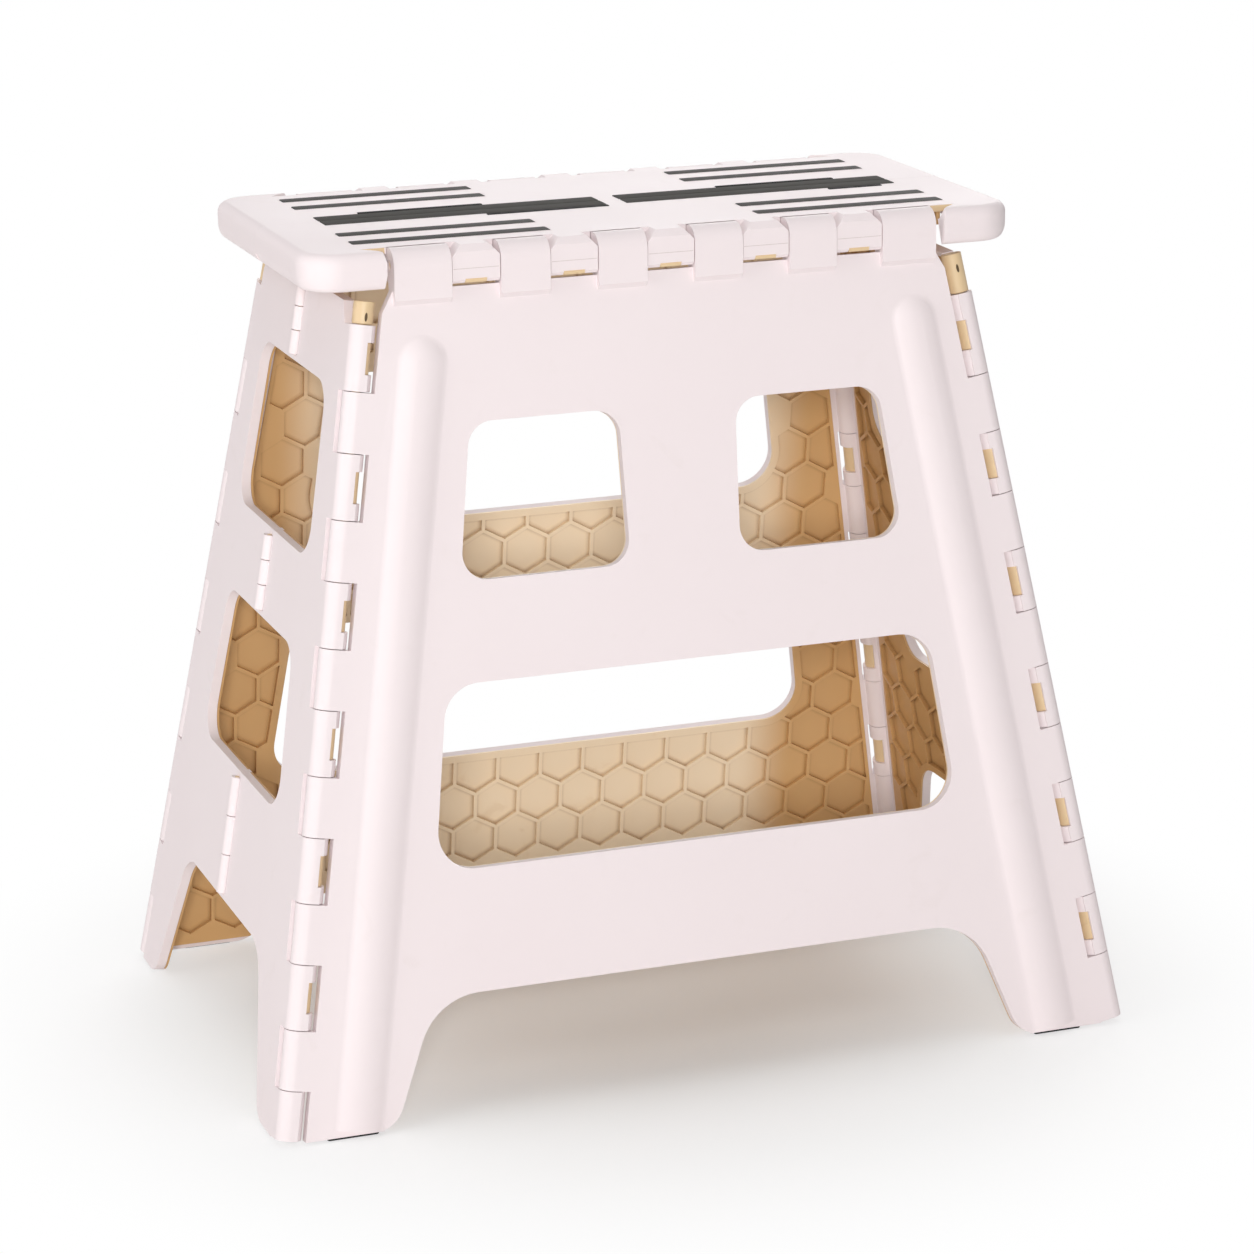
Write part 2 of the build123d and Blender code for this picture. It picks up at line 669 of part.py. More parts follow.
def strip_places(half):
    """Name, x span and y span of each grip strip on a seat half, with that half in the front place."""
    turn = 1 if half == "front" else -1
    thin = (THIN_STRIP_IN, THIN_STRIP_OUT)
    wide = (WIDE_STRIP_IN, WIDE_STRIP_OUT)
    places = []
    for side, end, edge in zip((-1, 1), ("left", "right"), EDGE_STRIPS[half]):
        for row, middle in zip(("outer", "inner"), THIN_STRIPS):
            rows = (middle - THIN_STRIP_W / 2, middle + THIN_STRIP_W / 2)
            places.append((f"{end}_{row}_strip", sorted(turn * side * x for x in thin), rows))
        places.append((f"{end}_wide_strip", sorted(turn * side * x for x in wide), WIDE_STRIP_Y))
        places.append((f"{end}_edge_strip", sorted(turn * x for x in edge), EDGE_STRIP_Y))
    return places


def seat_half(places):
    """Half of the seat in the front place, before its seam fittings: a rimmed plate with hinge lugs."""
    depth = SEAT_HALF_DEPTH - SEAT_SEAM_GAP
    middle = -(SEAT_HALF_DEPTH + SEAT_SEAM_GAP) / 2
    with BuildPart() as half:
        with BuildSketch(Plane.XY.offset(RIM_LOW)) as plan:
            with Locations((0, middle)):
                Rectangle(2 * SEAT_HALF_LENGTH, depth)
            fillet(plan.vertices().group_by(Axis.Y)[0], SEAT_CORNER_R)
        extrude(amount=RIM_H)
        for face, radius in ((-1, RIM_TOP_R), (0, RIM_LOW_R)):
            rim = half.faces().sort_by(Axis.Z)[face].edges()
            fillet(rim.filter_by(lambda edge: edge.center().Y < -2 * SEAT_SEAM_GAP), radius)
        with BuildSketch(Plane.XY.offset(RIM_LOW)) as pocket:
            with Locations((0, (-SEAT_HALF_DEPTH + RIM_W) / 2)):
                Rectangle(2 * (SEAT_HALF_LENGTH - RIM_W), SEAT_HALF_DEPTH - RIM_W)
            fillet(pocket.vertices().group_by(Axis.Y)[0], SEAT_CORNER_R - RIM_W)
        extrude(amount=SKIN_LOW - RIM_LOW, mode=Mode.SUBTRACT)
        lip_length = 2 * (SEAT_HALF_LENGTH - RIM_W)
        with Locations((0, -SEAT_SEAM_GAP, (SEAM_LIP_LOW + SKIN_LOW) / 2)):
            Box(lip_length, SEAT_RIB, SKIN_LOW - SEAM_LIP_LOW, align=(Align.CENTER, Align.MAX, Align.CENTER))
        for side in (-1, 1):
            with Locations((side * (SEAT_HALF_LENGTH - RIM_W / 2), 0, RIM_LOW)):
                Box(RIM_W + 1, 2 * SEAM_END_CUT_W, 2 * SEAM_END_CUT_H, mode=Mode.SUBTRACT)
        with Locations((0, -EDGE_Y, (RIM_LOW + SEAT_HEIGHT) / 2)):
            Box(2 * row_half + 2 * EDGE_GAP, 2 * EDGE_BLOCK, 2 * RIM_H, mode=Mode.SUBTRACT)
        with BuildSketch(Plane.YZ.offset(-row_half - EDGE_GAP)):
            with Locations((-EDGE_Y + EDGE_BLOCK + 1, (RIM_LOW + SEAT_HEIGHT) / 2)):
                Rectangle(EDGE_BLOCK + 1, RIM_H, align=(Align.MAX, Align.CENTER))
        extrude(amount=2 * row_half + 2 * EDGE_GAP)
        wide = [(left - EDGE_GAP, right + EDGE_GAP) for left, right in seat_row(True)]
        add(edge_bars(EDGE_BARREL_R + EDGE_GAP, wide), mode=Mode.SUBTRACT)
        for left, right in seat_row(False):
            with BuildSketch(Plane.YZ.offset(left + EDGE_GAP)):
                with BuildLine():
                    Polyline(
                        (-EDGE_Y - LUG_FRONT + LUG_CHAMFER, SEAT_HEIGHT),
                        (-EDGE_Y - LUG_FRONT, SEAT_HEIGHT - LUG_CHAMFER),
                        (-EDGE_Y - LUG_FRONT, RIM_LOW + LUG_LOW_CHAMFER),
                        (-EDGE_Y - LUG_FRONT + LUG_LOW_CHAMFER, RIM_LOW),
                        (-EDGE_Y + 1, RIM_LOW),
                        (-EDGE_Y + 1, SEAT_HEIGHT),
                        close=True,
                    )
                make_face()
            extrude(amount=right - left - 2 * EDGE_GAP)
            for edge, inward in ((left + EDGE_GAP, 1), (right - EDGE_GAP, -1)):
                with BuildSketch(LUG_CUT_PLANE):
                    with BuildLine():
                        Polyline(
                            (edge, SEAT_HEIGHT - LUG_CORNER_H),
                            (edge, SEAT_HEIGHT + 1),
                            (edge + inward * LUG_CORNER_W, SEAT_HEIGHT + 1),
                            (edge + inward * LUG_CORNER_W, SEAT_HEIGHT),
                            close=True,
                        )
                    make_face()
                extrude(amount=LUG_CORNER_BACK + LUG_FRONT + 1, mode=Mode.SUBTRACT)
        for side in (-1, 1):
            start = side * (row_half + EDGE_GAP)
            with BuildSketch(Plane.XY.offset(SEAT_HEIGHT - ROW_NOTCH_H)):
                with BuildLine():
                    Polyline(
                        (start, -ROW_NOTCH_Y[0]),
                        (start + side * ROW_NOTCH_W, -ROW_NOTCH_Y[0]),
                        (start, -ROW_NOTCH_Y[1]),
                        close=True,
                    )
                make_face()
            extrude(amount=ROW_NOTCH_H + 1, mode=Mode.SUBTRACT)
        collars = middle_spans(seat_row(False), EDGE_COLLAR_L + 2 * COLLAR_ROOM)
        add(edge_bars(EDGE_COLLAR_R + COLLAR_ROOM, collars), mode=Mode.SUBTRACT)
        add(edge_bars(EDGE_ROD_R + ROD_RUN, [(-row_half, row_half)]), mode=Mode.SUBTRACT)
        for left, right in collars:
            with Locations(((left + right) / 2, -EDGE_Y - EDGE_COLLAR_R, RIM_LOW)):
                Box(right - left, EDGE_COLLAR_R + 2, 4, mode=Mode.SUBTRACT)
        for name, x_span, y_span in places:
            add(strip_box(x_span, y_span, STRIP_FIT), mode=Mode.SUBTRACT)
    return half.part


def seat_liner():
    """Ribbed inner plate under the front half of the seat."""
    length = 2 * (SEAT_HALF_LENGTH - RIM_W - LINER_GAP)
    front = -EDGE_Y + EDGE_BLOCK + 1 + LINER_GAP
    back = -HOOK_REACH - HOOK_ARM - 1
    rib_back = 2 * back
    high = SKIN_LOW - LINER_GAP
    down = (Align.CENTER, Align.CENTER, Align.MAX)
    with BuildPart() as liner:
        with Locations((0, (front + back) / 2, high)):
            Box(length, back - front, LINER_BASE, align=down)
        for index in range(SEAT_RIBS):
            with Locations(((index - (SEAT_RIBS - 1) / 2) * SEAT_RIB_PITCH, (front + rib_back) / 2, high)):
                Box(SEAT_RIB, rib_back - front, high - SEAT_RIB_LOW, align=down)
        with Locations((0, rib_back, high)):
            Box(length, SEAT_RIB, high - SEAT_RIB_LOW, align=down)
    return liner.part


def seam_spans(odd):
    """Spans along x of the seam's knuckles: even ones on the front half, odd ones on the back half."""
    step = SEAM_SPAN / SEAM_KNUCKLES
    starts = [-SEAM_SPAN / 2 + index * step for index in range(SEAM_KNUCKLES) if index % 2 == odd]
    return [(start + HINGE_GAP, start + step - HINGE_GAP) for start in starts]


front_places = strip_places("front")
back_places = strip_places("back")
SEAM_AXIS = Plane(origin=(0, 0, SEAM_Z), x_dir=(0, 1, 0), z_dir=(1, 0, 0))
with BuildPart() as seat_front_shell:
    add(seat_half(front_places))
    for left, right in seam_spans(0):
        with BuildSketch(SEAM_AXIS.offset(left)):
            Circle(SEAM_R)
            with Locations((-SEAT_SEAM_GAP, 0)):
                Rectangle(SEAM_WEB, SKIN_LOW - SEAM_Z, align=(Align.MAX, Align.MIN))
        extrude(amount=right - left)
    add(bars(SEAM_AXIS, SEAM_ROD_R + ROD_RUN, [(-SEAM_SPAN / 2, SEAM_SPAN / 2)]), mode=Mode.SUBTRACT)

with BuildPart() as seat_back_shell:
    add(seat_half(back_places).rotate(Axis.Z, 180))
    inner = SEAM_ROD_R + HOOK_ROOM
    for left, right in seam_spans(1):
        with BuildSketch(SEAM_AXIS.offset(left)):
            with BuildLine():
                Polyline(
                    (-inner - HOOK_T, SEAM_ROD_R / 2),
                    (-inner - HOOK_T, -inner - HOOK_T),
                    (HOOK_REACH + HOOK_ARM, -inner - HOOK_T),
                    (HOOK_REACH + HOOK_ARM, SKIN_LOW - SEAM_Z),
                    (HOOK_REACH, SKIN_LOW - SEAM_Z),
                    (HOOK_REACH, -inner),
                    (-inner, -inner),
                    (-inner, SEAM_ROD_R / 2),
                    close=True,
                )
            make_face()
        extrude(amount=right - left)


def seat_rod():
    """Hinge rod of the seat's front edge, with a collar inside each lug."""
    with BuildPart() as rod:
        add(edge_bars(EDGE_ROD_R, [(-row_half + 1, row_half - 1)]))
        add(edge_bars(EDGE_COLLAR_R, middle_spans(seat_row(False), EDGE_COLLAR_L)))
    return rod.part


def turned(part):
    """The same moulding across the stool: turned half way round the vertical."""
    return part.rotate(Axis.Z, 180)


seam_rod = bars(SEAM_AXIS, SEAM_ROD_R, [(-SEAM_SPAN / 2 + 1, SEAM_SPAN / 2 - 1)])
rod_a = corner_rod(-1, -1, FRONT, lugs_a)
rod_b = corner_rod(-1, 1, BACK, lugs_b)

nodes = {
    "front_panel_shell": panel_shell(front_face, front_lip),
    "front_panel_liner": panel_liner(front_face, front_lip),
    "back_panel_shell": turned(panel_shell(back_face, back_lip)),
    "back_panel_liner": turned(panel_liner(back_face, back_lip)),
    "left_front_side_shell": left_front_shell,
    "left_front_side_liner": left_front_liner,
    "left_back_side_shell": left_back_shell,
    "left_back_side_liner": left_back_liner,
    "right_back_side_shell": turned(loose_front_shell),
    "right_back_side_liner": turned(left_front_liner),
    "right_front_side_shell": turned(left_back_shell),
    "right_front_side_liner": turned(left_back_liner),
    "front_left_corner_rod": rod_a,
    "back_right_corner_rod": turned(rod_a),
    "back_left_corner_rod": rod_b,
    "front_right_corner_rod": turned(rod_b),
    "left_fold_pins": centre_pins,
    "right_fold_pins": turned(centre_pins),
    "seat_front_shell": seat_front_shell.part,
    "seat_back_shell": seat_back_shell.part,
    "seat_front_liner": seat_liner(),
    "seat_back_liner": turned(seat_liner()),
    "seat_front_rod": seat_rod(),
    "seat_back_rod": turned(seat_rod()),
    "seat_seam_rod": seam_rod,
}
for side, end in ((-1, "left"), (1, "right")):
    nodes[f"front_{end}_foot_pad"] = panel_pads(side, 0)
    nodes[f"back_{end}_foot_pad"] = turned(panel_pads(-side, 0))
for name, x_span, y_span in front_places:
    nodes[f"seat_front_{name}"] = strip_box(x_span, y_span, 0)
for name, x_span, y_span in back_places:
    nodes[f"seat_back_{name}"] = turned(strip_box(x_span, y_span, 0))

os.makedirs("parts", exist_ok=True)
for name, part in nodes.items():
    part.label = name
    export_step(part, f"parts/{name}.step")
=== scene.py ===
"""Dresses the folding step stool: softened shells, honeycomb liners, rubber grips and a studio."""

import json
import logging
import math
from collections.abc import Iterable
from dataclasses import dataclass
from enum import Enum

import bmesh
import bpy
import numpy as np
from mathutils import Matrix, Vector

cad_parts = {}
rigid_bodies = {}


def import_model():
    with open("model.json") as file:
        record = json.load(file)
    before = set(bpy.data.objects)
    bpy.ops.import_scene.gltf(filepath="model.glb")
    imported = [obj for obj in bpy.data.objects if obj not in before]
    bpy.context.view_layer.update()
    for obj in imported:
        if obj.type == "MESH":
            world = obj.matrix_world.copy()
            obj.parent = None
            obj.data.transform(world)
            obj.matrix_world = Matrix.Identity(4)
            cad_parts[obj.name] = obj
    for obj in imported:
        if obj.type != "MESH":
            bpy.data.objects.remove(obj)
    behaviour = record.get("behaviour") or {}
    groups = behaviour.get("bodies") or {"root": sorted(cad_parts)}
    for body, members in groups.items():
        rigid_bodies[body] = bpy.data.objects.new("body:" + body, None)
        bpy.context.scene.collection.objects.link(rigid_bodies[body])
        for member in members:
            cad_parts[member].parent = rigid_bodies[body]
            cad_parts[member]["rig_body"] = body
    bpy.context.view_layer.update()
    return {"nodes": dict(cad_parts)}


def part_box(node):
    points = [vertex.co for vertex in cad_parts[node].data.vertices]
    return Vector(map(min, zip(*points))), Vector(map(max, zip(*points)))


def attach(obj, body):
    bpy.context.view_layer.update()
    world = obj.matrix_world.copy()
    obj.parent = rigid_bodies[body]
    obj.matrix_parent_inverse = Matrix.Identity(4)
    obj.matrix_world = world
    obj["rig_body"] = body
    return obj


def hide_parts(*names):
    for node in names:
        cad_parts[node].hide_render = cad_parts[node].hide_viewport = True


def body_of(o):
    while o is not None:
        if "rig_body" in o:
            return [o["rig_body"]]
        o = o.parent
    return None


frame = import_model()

logging.basicConfig(level=logging.INFO, format="%(levelname)s %(message)s")
log = logging.getLogger("step_stool")

MM = 0.001
SHELL_SHARP = math.radians(40.0)
RUBBER_SHARP = math.radians(50.0)
SHELL_BEVEL = 0.5 * MM
LINER_BEVEL = 0.3 * MM
ROD_BEVEL = 0.25 * MM

Colour = tuple[float, float, float, float]
WHITE: Colour = (1.0, 1.0, 1.0, 1.0)


class Half(Enum):
    """The two halves of the seat, with the sign of the side they lie on."""

    FRONT = -1
    BACK = 1

    @property
    def body(self) -> str:
        """Name of the body that carries this half."""
        return f"seat_{self.name.lower()}"


class Side(Enum):
    """The stool's left and right, with the sign of x there."""

    LEFT = -1
    RIGHT = 1

    @property
    def word(self) -> str:
        """The side's name in small letters."""
        return self.name.lower()


class Slot(Enum):
    """Material slots that the record names."""

    SHELL = "shell"
    LINER = "liner"
    ROD = "rod"
    GRIP = "grip"
    WIDE_GRIP = "wide_grip"
    PAD = "pad"


def srgb(red: int, green: int, blue: int) -> Colour:
    """Turns a colour as a screen shows it into the linear light that a shader takes.

    Args:
        red: red channel, 0 to 255.
        green: green channel, 0 to 255.
        blue: blue channel, 0 to 255.

    Returns:
        Linear red, green and blue, and an alpha of one.
    """
    channels = np.array([red, green, blue], dtype=float) / 255.0
    linear = np.where(channels <= 0.04045, channels / 12.92, ((channels + 0.055) / 1.055) ** 2.4)
    return (float(linear[0]), float(linear[1]), float(linear[2]), 1.0)


class NodeGroups:
    """Shader node groups that several finishes share, each built once."""

    grain_share: float = 0.35
    # Reach and samples of the ambient occlusion that paints shade into inner corners, and the noise that
    # makes it patchy.
    corner_reach: float = 2.2 * MM
    corner_samples: int = 4
    dust_scale: float = 45.0
    dust_spread: tuple[float, float] = (0.6, 1.4)
    scuff_width: float = 0.12

    def __init__(self) -> None:
        """Starts with no group built."""
        self._built: dict[str, bpy.types.NodeTree] = {}

    def _start(
        self, name: str, inputs: dict[str, float], outputs: list[str]
    ) -> tuple[bpy.types.NodeTree, bpy.types.Node, bpy.types.Node]:
        """Opens an empty group with a vector input named Vector and float inputs and outputs.

        Args:
            name: the group's name.
            inputs: names and default values of its float inputs.
            outputs: names of its float outputs.

        Returns:
            The tree, its input node and its output node.
        """
        tree = bpy.data.node_groups.new(name, "ShaderNodeTree")
        tree.interface.new_socket("Vector", in_out="INPUT", socket_type="NodeSocketVector")
        for key, value in inputs.items():
            socket = tree.interface.new_socket(key, in_out="INPUT", socket_type="NodeSocketFloat")
            socket.default_value = value
        for key in outputs:
            tree.interface.new_socket(key, in_out="OUTPUT", socket_type="NodeSocketFloat")
        self._built[name] = tree
        return tree, tree.nodes.new("NodeGroupInput"), tree.nodes.new("NodeGroupOutput")

    def moulded_grain(self) -> bpy.types.NodeTree:
        """Fine grain of a moulded surface: about a third of a tiny noise on top of a slow waviness.

        Returns:
            A group with inputs Vector, Grain Scale and Wave Scale, and outputs Height and Cloud.
        """
        name = "moulded_grain"
        if name in self._built:
            return self._built[name]
        scales = {"Grain Scale": 1600.0, "Wave Scale": 14.0}
        tree, source, sink = self._start(name, scales, ["Height", "Cloud"])
        grain = tree.nodes.new("ShaderNodeTexNoise")
        grain.inputs["Detail"].default_value = 2.0
        wave = tree.nodes.new("ShaderNodeTexNoise")
        wave.inputs["Detail"].default_value = 3.0
        mix = tree.nodes.new("ShaderNodeMath")
        mix.operation = "MULTIPLY_ADD"
        mix.inputs[1].default_value = self.grain_share
        link = tree.links.new
        link(source.outputs["Vector"], grain.inputs["Vector"])
        link(source.outputs["Grain Scale"], grain.inputs["Scale"])
        link(source.outputs["Vector"], wave.inputs["Vector"])
        link(source.outputs["Wave Scale"], wave.inputs["Scale"])
        link(grain.outputs["Fac"], mix.inputs[0])
        link(wave.outputs["Fac"], mix.inputs[2])
        link(mix.outputs[0], sink.inputs["Height"])
        link(wave.outputs["Fac"], sink.inputs["Cloud"])
        return tree

    def corner_shade(self) -> bpy.types.NodeTree:
        """Dirt and painted shade in inner corners: a mask of one where near walls close a point in, made
        patchy by noise, and none in the open.

        Returns:
            A group with inputs Vector and Strength, and an output Mask.
        """
        name = "corner_shade"
        if name in self._built:
            return self._built[name]
        tree, source, sink = self._start(name, {"Strength": 0.6}, ["Mask"])
        # Ambient occlusion darkens where walls close in: this part of the mask is painted shade.
        closed = tree.nodes.new("ShaderNodeAmbientOcclusion")
        closed.samples = self.corner_samples
        closed.only_local = True
        closed.inputs["Distance"].default_value = self.corner_reach
        patches = tree.nodes.new("ShaderNodeTexNoise")
        patches.inputs["Scale"].default_value = self.dust_scale
        turned = tree.nodes.new("ShaderNodeMath")
        turned.operation = "SUBTRACT"
        turned.inputs[0].default_value = 1.0
        uneven = tree.nodes.new("ShaderNodeMapRange")
        uneven.inputs["To Min"].default_value, uneven.inputs["To Max"].default_value = self.dust_spread
        scaled = tree.nodes.new("ShaderNodeMath")
        scaled.operation = "MULTIPLY"
        mask = tree.nodes.new("ShaderNodeMath")
        mask.operation = "MULTIPLY"
        mask.use_clamp = True
        link = tree.links.new
        link(source.outputs["Vector"], patches.inputs["Vector"])
        link(patches.outputs["Fac"], uneven.inputs["Value"])
        link(closed.outputs["AO"], turned.inputs[1])
        link(turned.outputs[0], scaled.inputs[0])
        link(source.outputs["Strength"], scaled.inputs[1])
        link(scaled.outputs[0], mask.inputs[0])
        link(uneven.outputs["Result"], mask.inputs[1])
        link(mask.outputs[0], sink.inputs["Mask"])
        return tree

    def scuffs(self) -> bpy.types.NodeTree:
        """Sparse rubbed patches: a mask of one only where a twisted noise passes a high threshold.

        Returns:
            A group with inputs Vector, Scale and Threshold, and an output Mask.
        """
        name = "scuffs"
        if name in self._built:
            return self._built[name]
        tree, source, sink = self._start(name, {"Scale": 60.0, "Threshold": 0.62}, ["Mask"])
        noise = tree.nodes.new("ShaderNodeTexNoise")
        noise.inputs["Detail"].default_value = 5.0
        noise.inputs["Distortion"].default_value = 0.8
        step = tree.nodes.new("ShaderNodeMapRange")
        step.interpolation_type = "SMOOTHSTEP"
        high = tree.nodes.new("ShaderNodeMath")
        high.inputs[1].default_value = self.scuff_width
        link = tree.links.new
        link(source.outputs["Vector"], noise.inputs["Vector"])
        link(source.outputs["Scale"], noise.inputs["Scale"])
        link(noise.outputs["Fac"], step.inputs["Value"])
        link(source.outputs["Threshold"], step.inputs["From Min"])
        link(source.outputs["Threshold"], high.inputs[0])
        link(high.outputs[0], step.inputs["From Max"])
        link(step.outputs["Result"], sink.inputs["Mask"])
        return tree


GROUPS = NodeGroups()


@dataclass(frozen=True)
class MouldedPlastic:
    """Satin moulded plastic or rubber: a colour with a faint cloud, rubbed patches and a fine grain."""

    name: str
    colour: Colour
    cloud_colour: Colour
    rubbed_colour: Colour
    slot: Slot
    roughness: float = 0.42
    roughness_spread: float = 0.07
    rubbed_strength: float = 0.25
    specular: float = 0.45
    grain_scale: float = 1600.0
    bump: float = 0.05
    bump_depth: float = 0.5 * MM
    # Colour and strength of the darkening in inner corners: dirt and painted shade.
    corner_colour: Colour | None = None
    corner_strength: float = 0.9
    # Colour towards both ends of the stool, and the span over which it comes in: painted shade.
    end_colour: Colour | None = None
    end_span: tuple[float, float] = (108.0 * MM, 142.0 * MM)

    def tint_ends(
        self, tree: bpy.types.NodeTree, place: bpy.types.NodeSocket, colour: bpy.types.NodeSocket
    ) -> bpy.types.NodeSocket:
        """Paints shade towards both ends of the stool: deepens the colour by a smooth step of the distance
        from its middle.

        Args:
            tree: the material's node tree.
            place: the object coordinates.
            colour: the colour so far.

        Returns:
            The tinted colour.
        """
        parts = tree.nodes.new("ShaderNodeSeparateXYZ")
        reach = tree.nodes.new("ShaderNodeMath")
        reach.operation = "ABSOLUTE"
        step = tree.nodes.new("ShaderNodeMapRange")
        step.interpolation_type = "SMOOTHSTEP"
        step.inputs["From Min"].default_value, step.inputs["From Max"].default_value = self.end_span
        tint = tree.nodes.new("ShaderNodeMix")
        tint.data_type = "RGBA"
        tint.inputs["B"].default_value = self.end_colour
        tree.links.new(place, parts.inputs[0])
        tree.links.new(parts.outputs["X"], reach.inputs[0])
        tree.links.new(reach.outputs[0], step.inputs["Value"])
        tree.links.new(step.outputs["Result"], tint.inputs["Factor"])
        tree.links.new(colour, tint.inputs["A"])
        return tint.outputs["Result"]

    def material(self) -> bpy.types.Material:
        """Builds the material once, or hands back the one that is there.

        Returns:
            The material.
        """
        known = bpy.data.materials.get(self.name)
        if known is not None:
            return known
        made = bpy.data.materials.new(self.name)
        made.use_nodes = True
        nodes, link = made.node_tree.nodes, made.node_tree.links.new
        shader = nodes["Principled BSDF"]
        place = nodes.new("ShaderNodeTexCoord")
        grain = nodes.new("ShaderNodeGroup")
        grain.node_tree = GROUPS.moulded_grain()
        grain.inputs["Grain Scale"].default_value = self.grain_scale
        scuffs = nodes.new("ShaderNodeGroup")
        scuffs.node_tree = GROUPS.scuffs()
        amount = nodes.new("ShaderNodeMath")
        amount.operation = "MULTIPLY"
        amount.inputs[1].default_value = self.rubbed_strength
        cloud = nodes.new("ShaderNodeMix")
        cloud.data_type = "RGBA"
        cloud.inputs["A"].default_value = self.colour
        cloud.inputs["B"].default_value = self.cloud_colour
        rubbed = nodes.new("ShaderNodeMix")
        rubbed.data_type = "RGBA"
        rubbed.inputs["B"].default_value = self.rubbed_colour
        rough = nodes.new("ShaderNodeMapRange")
        rough.inputs["To Min"].default_value = self.roughness - self.roughness_spread
        rough.inputs["To Max"].default_value = self.roughness + self.roughness_spread
        bump = nodes.new("ShaderNodeBump")
        bump.inputs["Strength"].default_value = self.bump
        bump.inputs["Distance"].default_value = self.bump_depth
        link(place.outputs["Object"], grain.inputs["Vector"])
        link(place.outputs["Object"], scuffs.inputs["Vector"])
        link(grain.outputs["Cloud"], cloud.inputs["Factor"])
        link(scuffs.outputs["Mask"], amount.inputs[0])
        link(cloud.outputs["Result"], rubbed.inputs["A"])
        link(amount.outputs[0], rubbed.inputs["Factor"])
        colour = rubbed.outputs["Result"]
        # Darkens the colour towards the stool's ends: painted shade.
        if self.end_colour is not None:
            colour = self.tint_ends(made.node_tree, place.outputs["Object"], colour)
        # Darkens inner corners by ambient occlusion: dirt and painted shade.
        if self.corner_colour is not None:
            shade = nodes.new("ShaderNodeGroup")
            shade.node_tree = GROUPS.corner_shade()
            shade.inputs["Strength"].default_value = self.corner_strength
            dirt_and_shade = nodes.new("ShaderNodeMix")
            dirt_and_shade.data_type = "RGBA"
            dirt_and_shade.inputs["B"].default_value = self.corner_colour
            link(place.outputs["Object"], shade.inputs["Vector"])
            link(shade.outputs["Mask"], dirt_and_shade.inputs["Factor"])
            link(colour, dirt_and_shade.inputs["A"])
            colour = dirt_and_shade.outputs["Result"]
        link(colour, shader.inputs["Base Color"])
        link(grain.outputs["Cloud"], rough.inputs["Value"])
        link(rough.outputs["Result"], shader.inputs["Roughness"])
        link(grain.outputs["Height"], bump.inputs["Height"])
        link(bump.outputs["Normal"], shader.inputs["Normal"])
        shader.inputs["Specular IOR Level"].default_value = self.specular
        return made

    def dress(self, piece: bpy.types.Object) -> None:
        """Gives a piece this finish.

        Args:
            piece: the piece to dress.
        """
        piece.data.materials.clear()
        piece.data.materials.append(self.material())


BLUSH_WHITE = MouldedPlastic(
    "blush_white_shell", srgb(241, 230, 231), srgb(238, 226, 227), srgb(233, 221, 220), Slot.SHELL,
    roughness=0.5, specular=0.25,
)
# The pale lit copy of the liner tan, lightened for the light falling inside: painted light; its corners
# darken with dirt and painted shade, its ends with painted shade.
LIT_TAN_LINER = MouldedPlastic(
    "tan_honeycomb", srgb(252, 234, 206), srgb(248, 227, 196), srgb(226, 196, 156), Slot.LINER,
    roughness=0.36, corner_colour=srgb(158, 116, 68), end_colour=srgb(216, 174, 120),
)
# The darker shaded copy of the liner tan, for the side liners: painted shade; its corners darken with dirt
# and painted shade.
SHADED_TAN_SIDE_LINER = MouldedPlastic(
    "tan_side_honeycomb", srgb(208, 166, 114), srgb(198, 155, 103), srgb(170, 130, 84), Slot.LINER,
    roughness=0.34, corner_colour=srgb(132, 94, 52),
)
TAN_ROD = MouldedPlastic(
    "tan_rod", srgb(230, 204, 164), srgb(221, 192, 150), srgb(192, 156, 112), Slot.ROD
)
# A dark sheet laid where a keyhole's opening shows only shade: painted shade.
PAINTED_KEYHOLE_SHADE = MouldedPlastic(
    "keyhole_dark", srgb(96, 74, 48), srgb(84, 64, 40), srgb(70, 52, 32), Slot.ROD
)
PARTING_LINE = MouldedPlastic(
    "parting_line", srgb(214, 200, 198), srgb(206, 191, 189), srgb(198, 183, 180), Slot.SHELL
)
CHARCOAL_GRIP = MouldedPlastic(
    "charcoal_grip", srgb(57, 55, 53), srgb(66, 64, 61), srgb(80, 78, 74), Slot.GRIP,
    roughness=0.75, specular=0.12, bump=0.25, grain_scale=900.0,
)
# Near-black rubber of the edge strips, darker than the other rubber to paint the shade of the gaps beside the
# wide strips: partly rubber, partly painted shade.
BLACK_GRIP_AND_GAP_SHADE = MouldedPlastic(
    "black_grip", srgb(14, 13, 13), srgb(18, 17, 16), srgb(26, 25, 24), Slot.GRIP,
    roughness=0.75, specular=0.1, bump=0.25, grain_scale=900.0,
)
WIDE_GRIP = MouldedPlastic(
    "wide_grip_rubber", srgb(70, 68, 66), srgb(88, 86, 83), srgb(98, 96, 92), Slot.WIDE_GRIP,
    roughness=0.85, specular=0.05, bump=0.25, grain_scale=900.0,
)
PAD_RUBBER = MouldedPlastic(
    "pad_rubber", srgb(22, 22, 22), srgb(30, 29, 28), srgb(52, 50, 47), Slot.PAD,
    roughness=0.7, bump=0.35, grain_scale=700.0, rubbed_strength=0.5,
)


def shade_smooth(mesh: bpy.types.Mesh) -> None:
    """Lets every face of a mesh shade smoothly."""
    mesh.polygons.foreach_set("use_smooth", np.ones(len(mesh.polygons), dtype=bool))


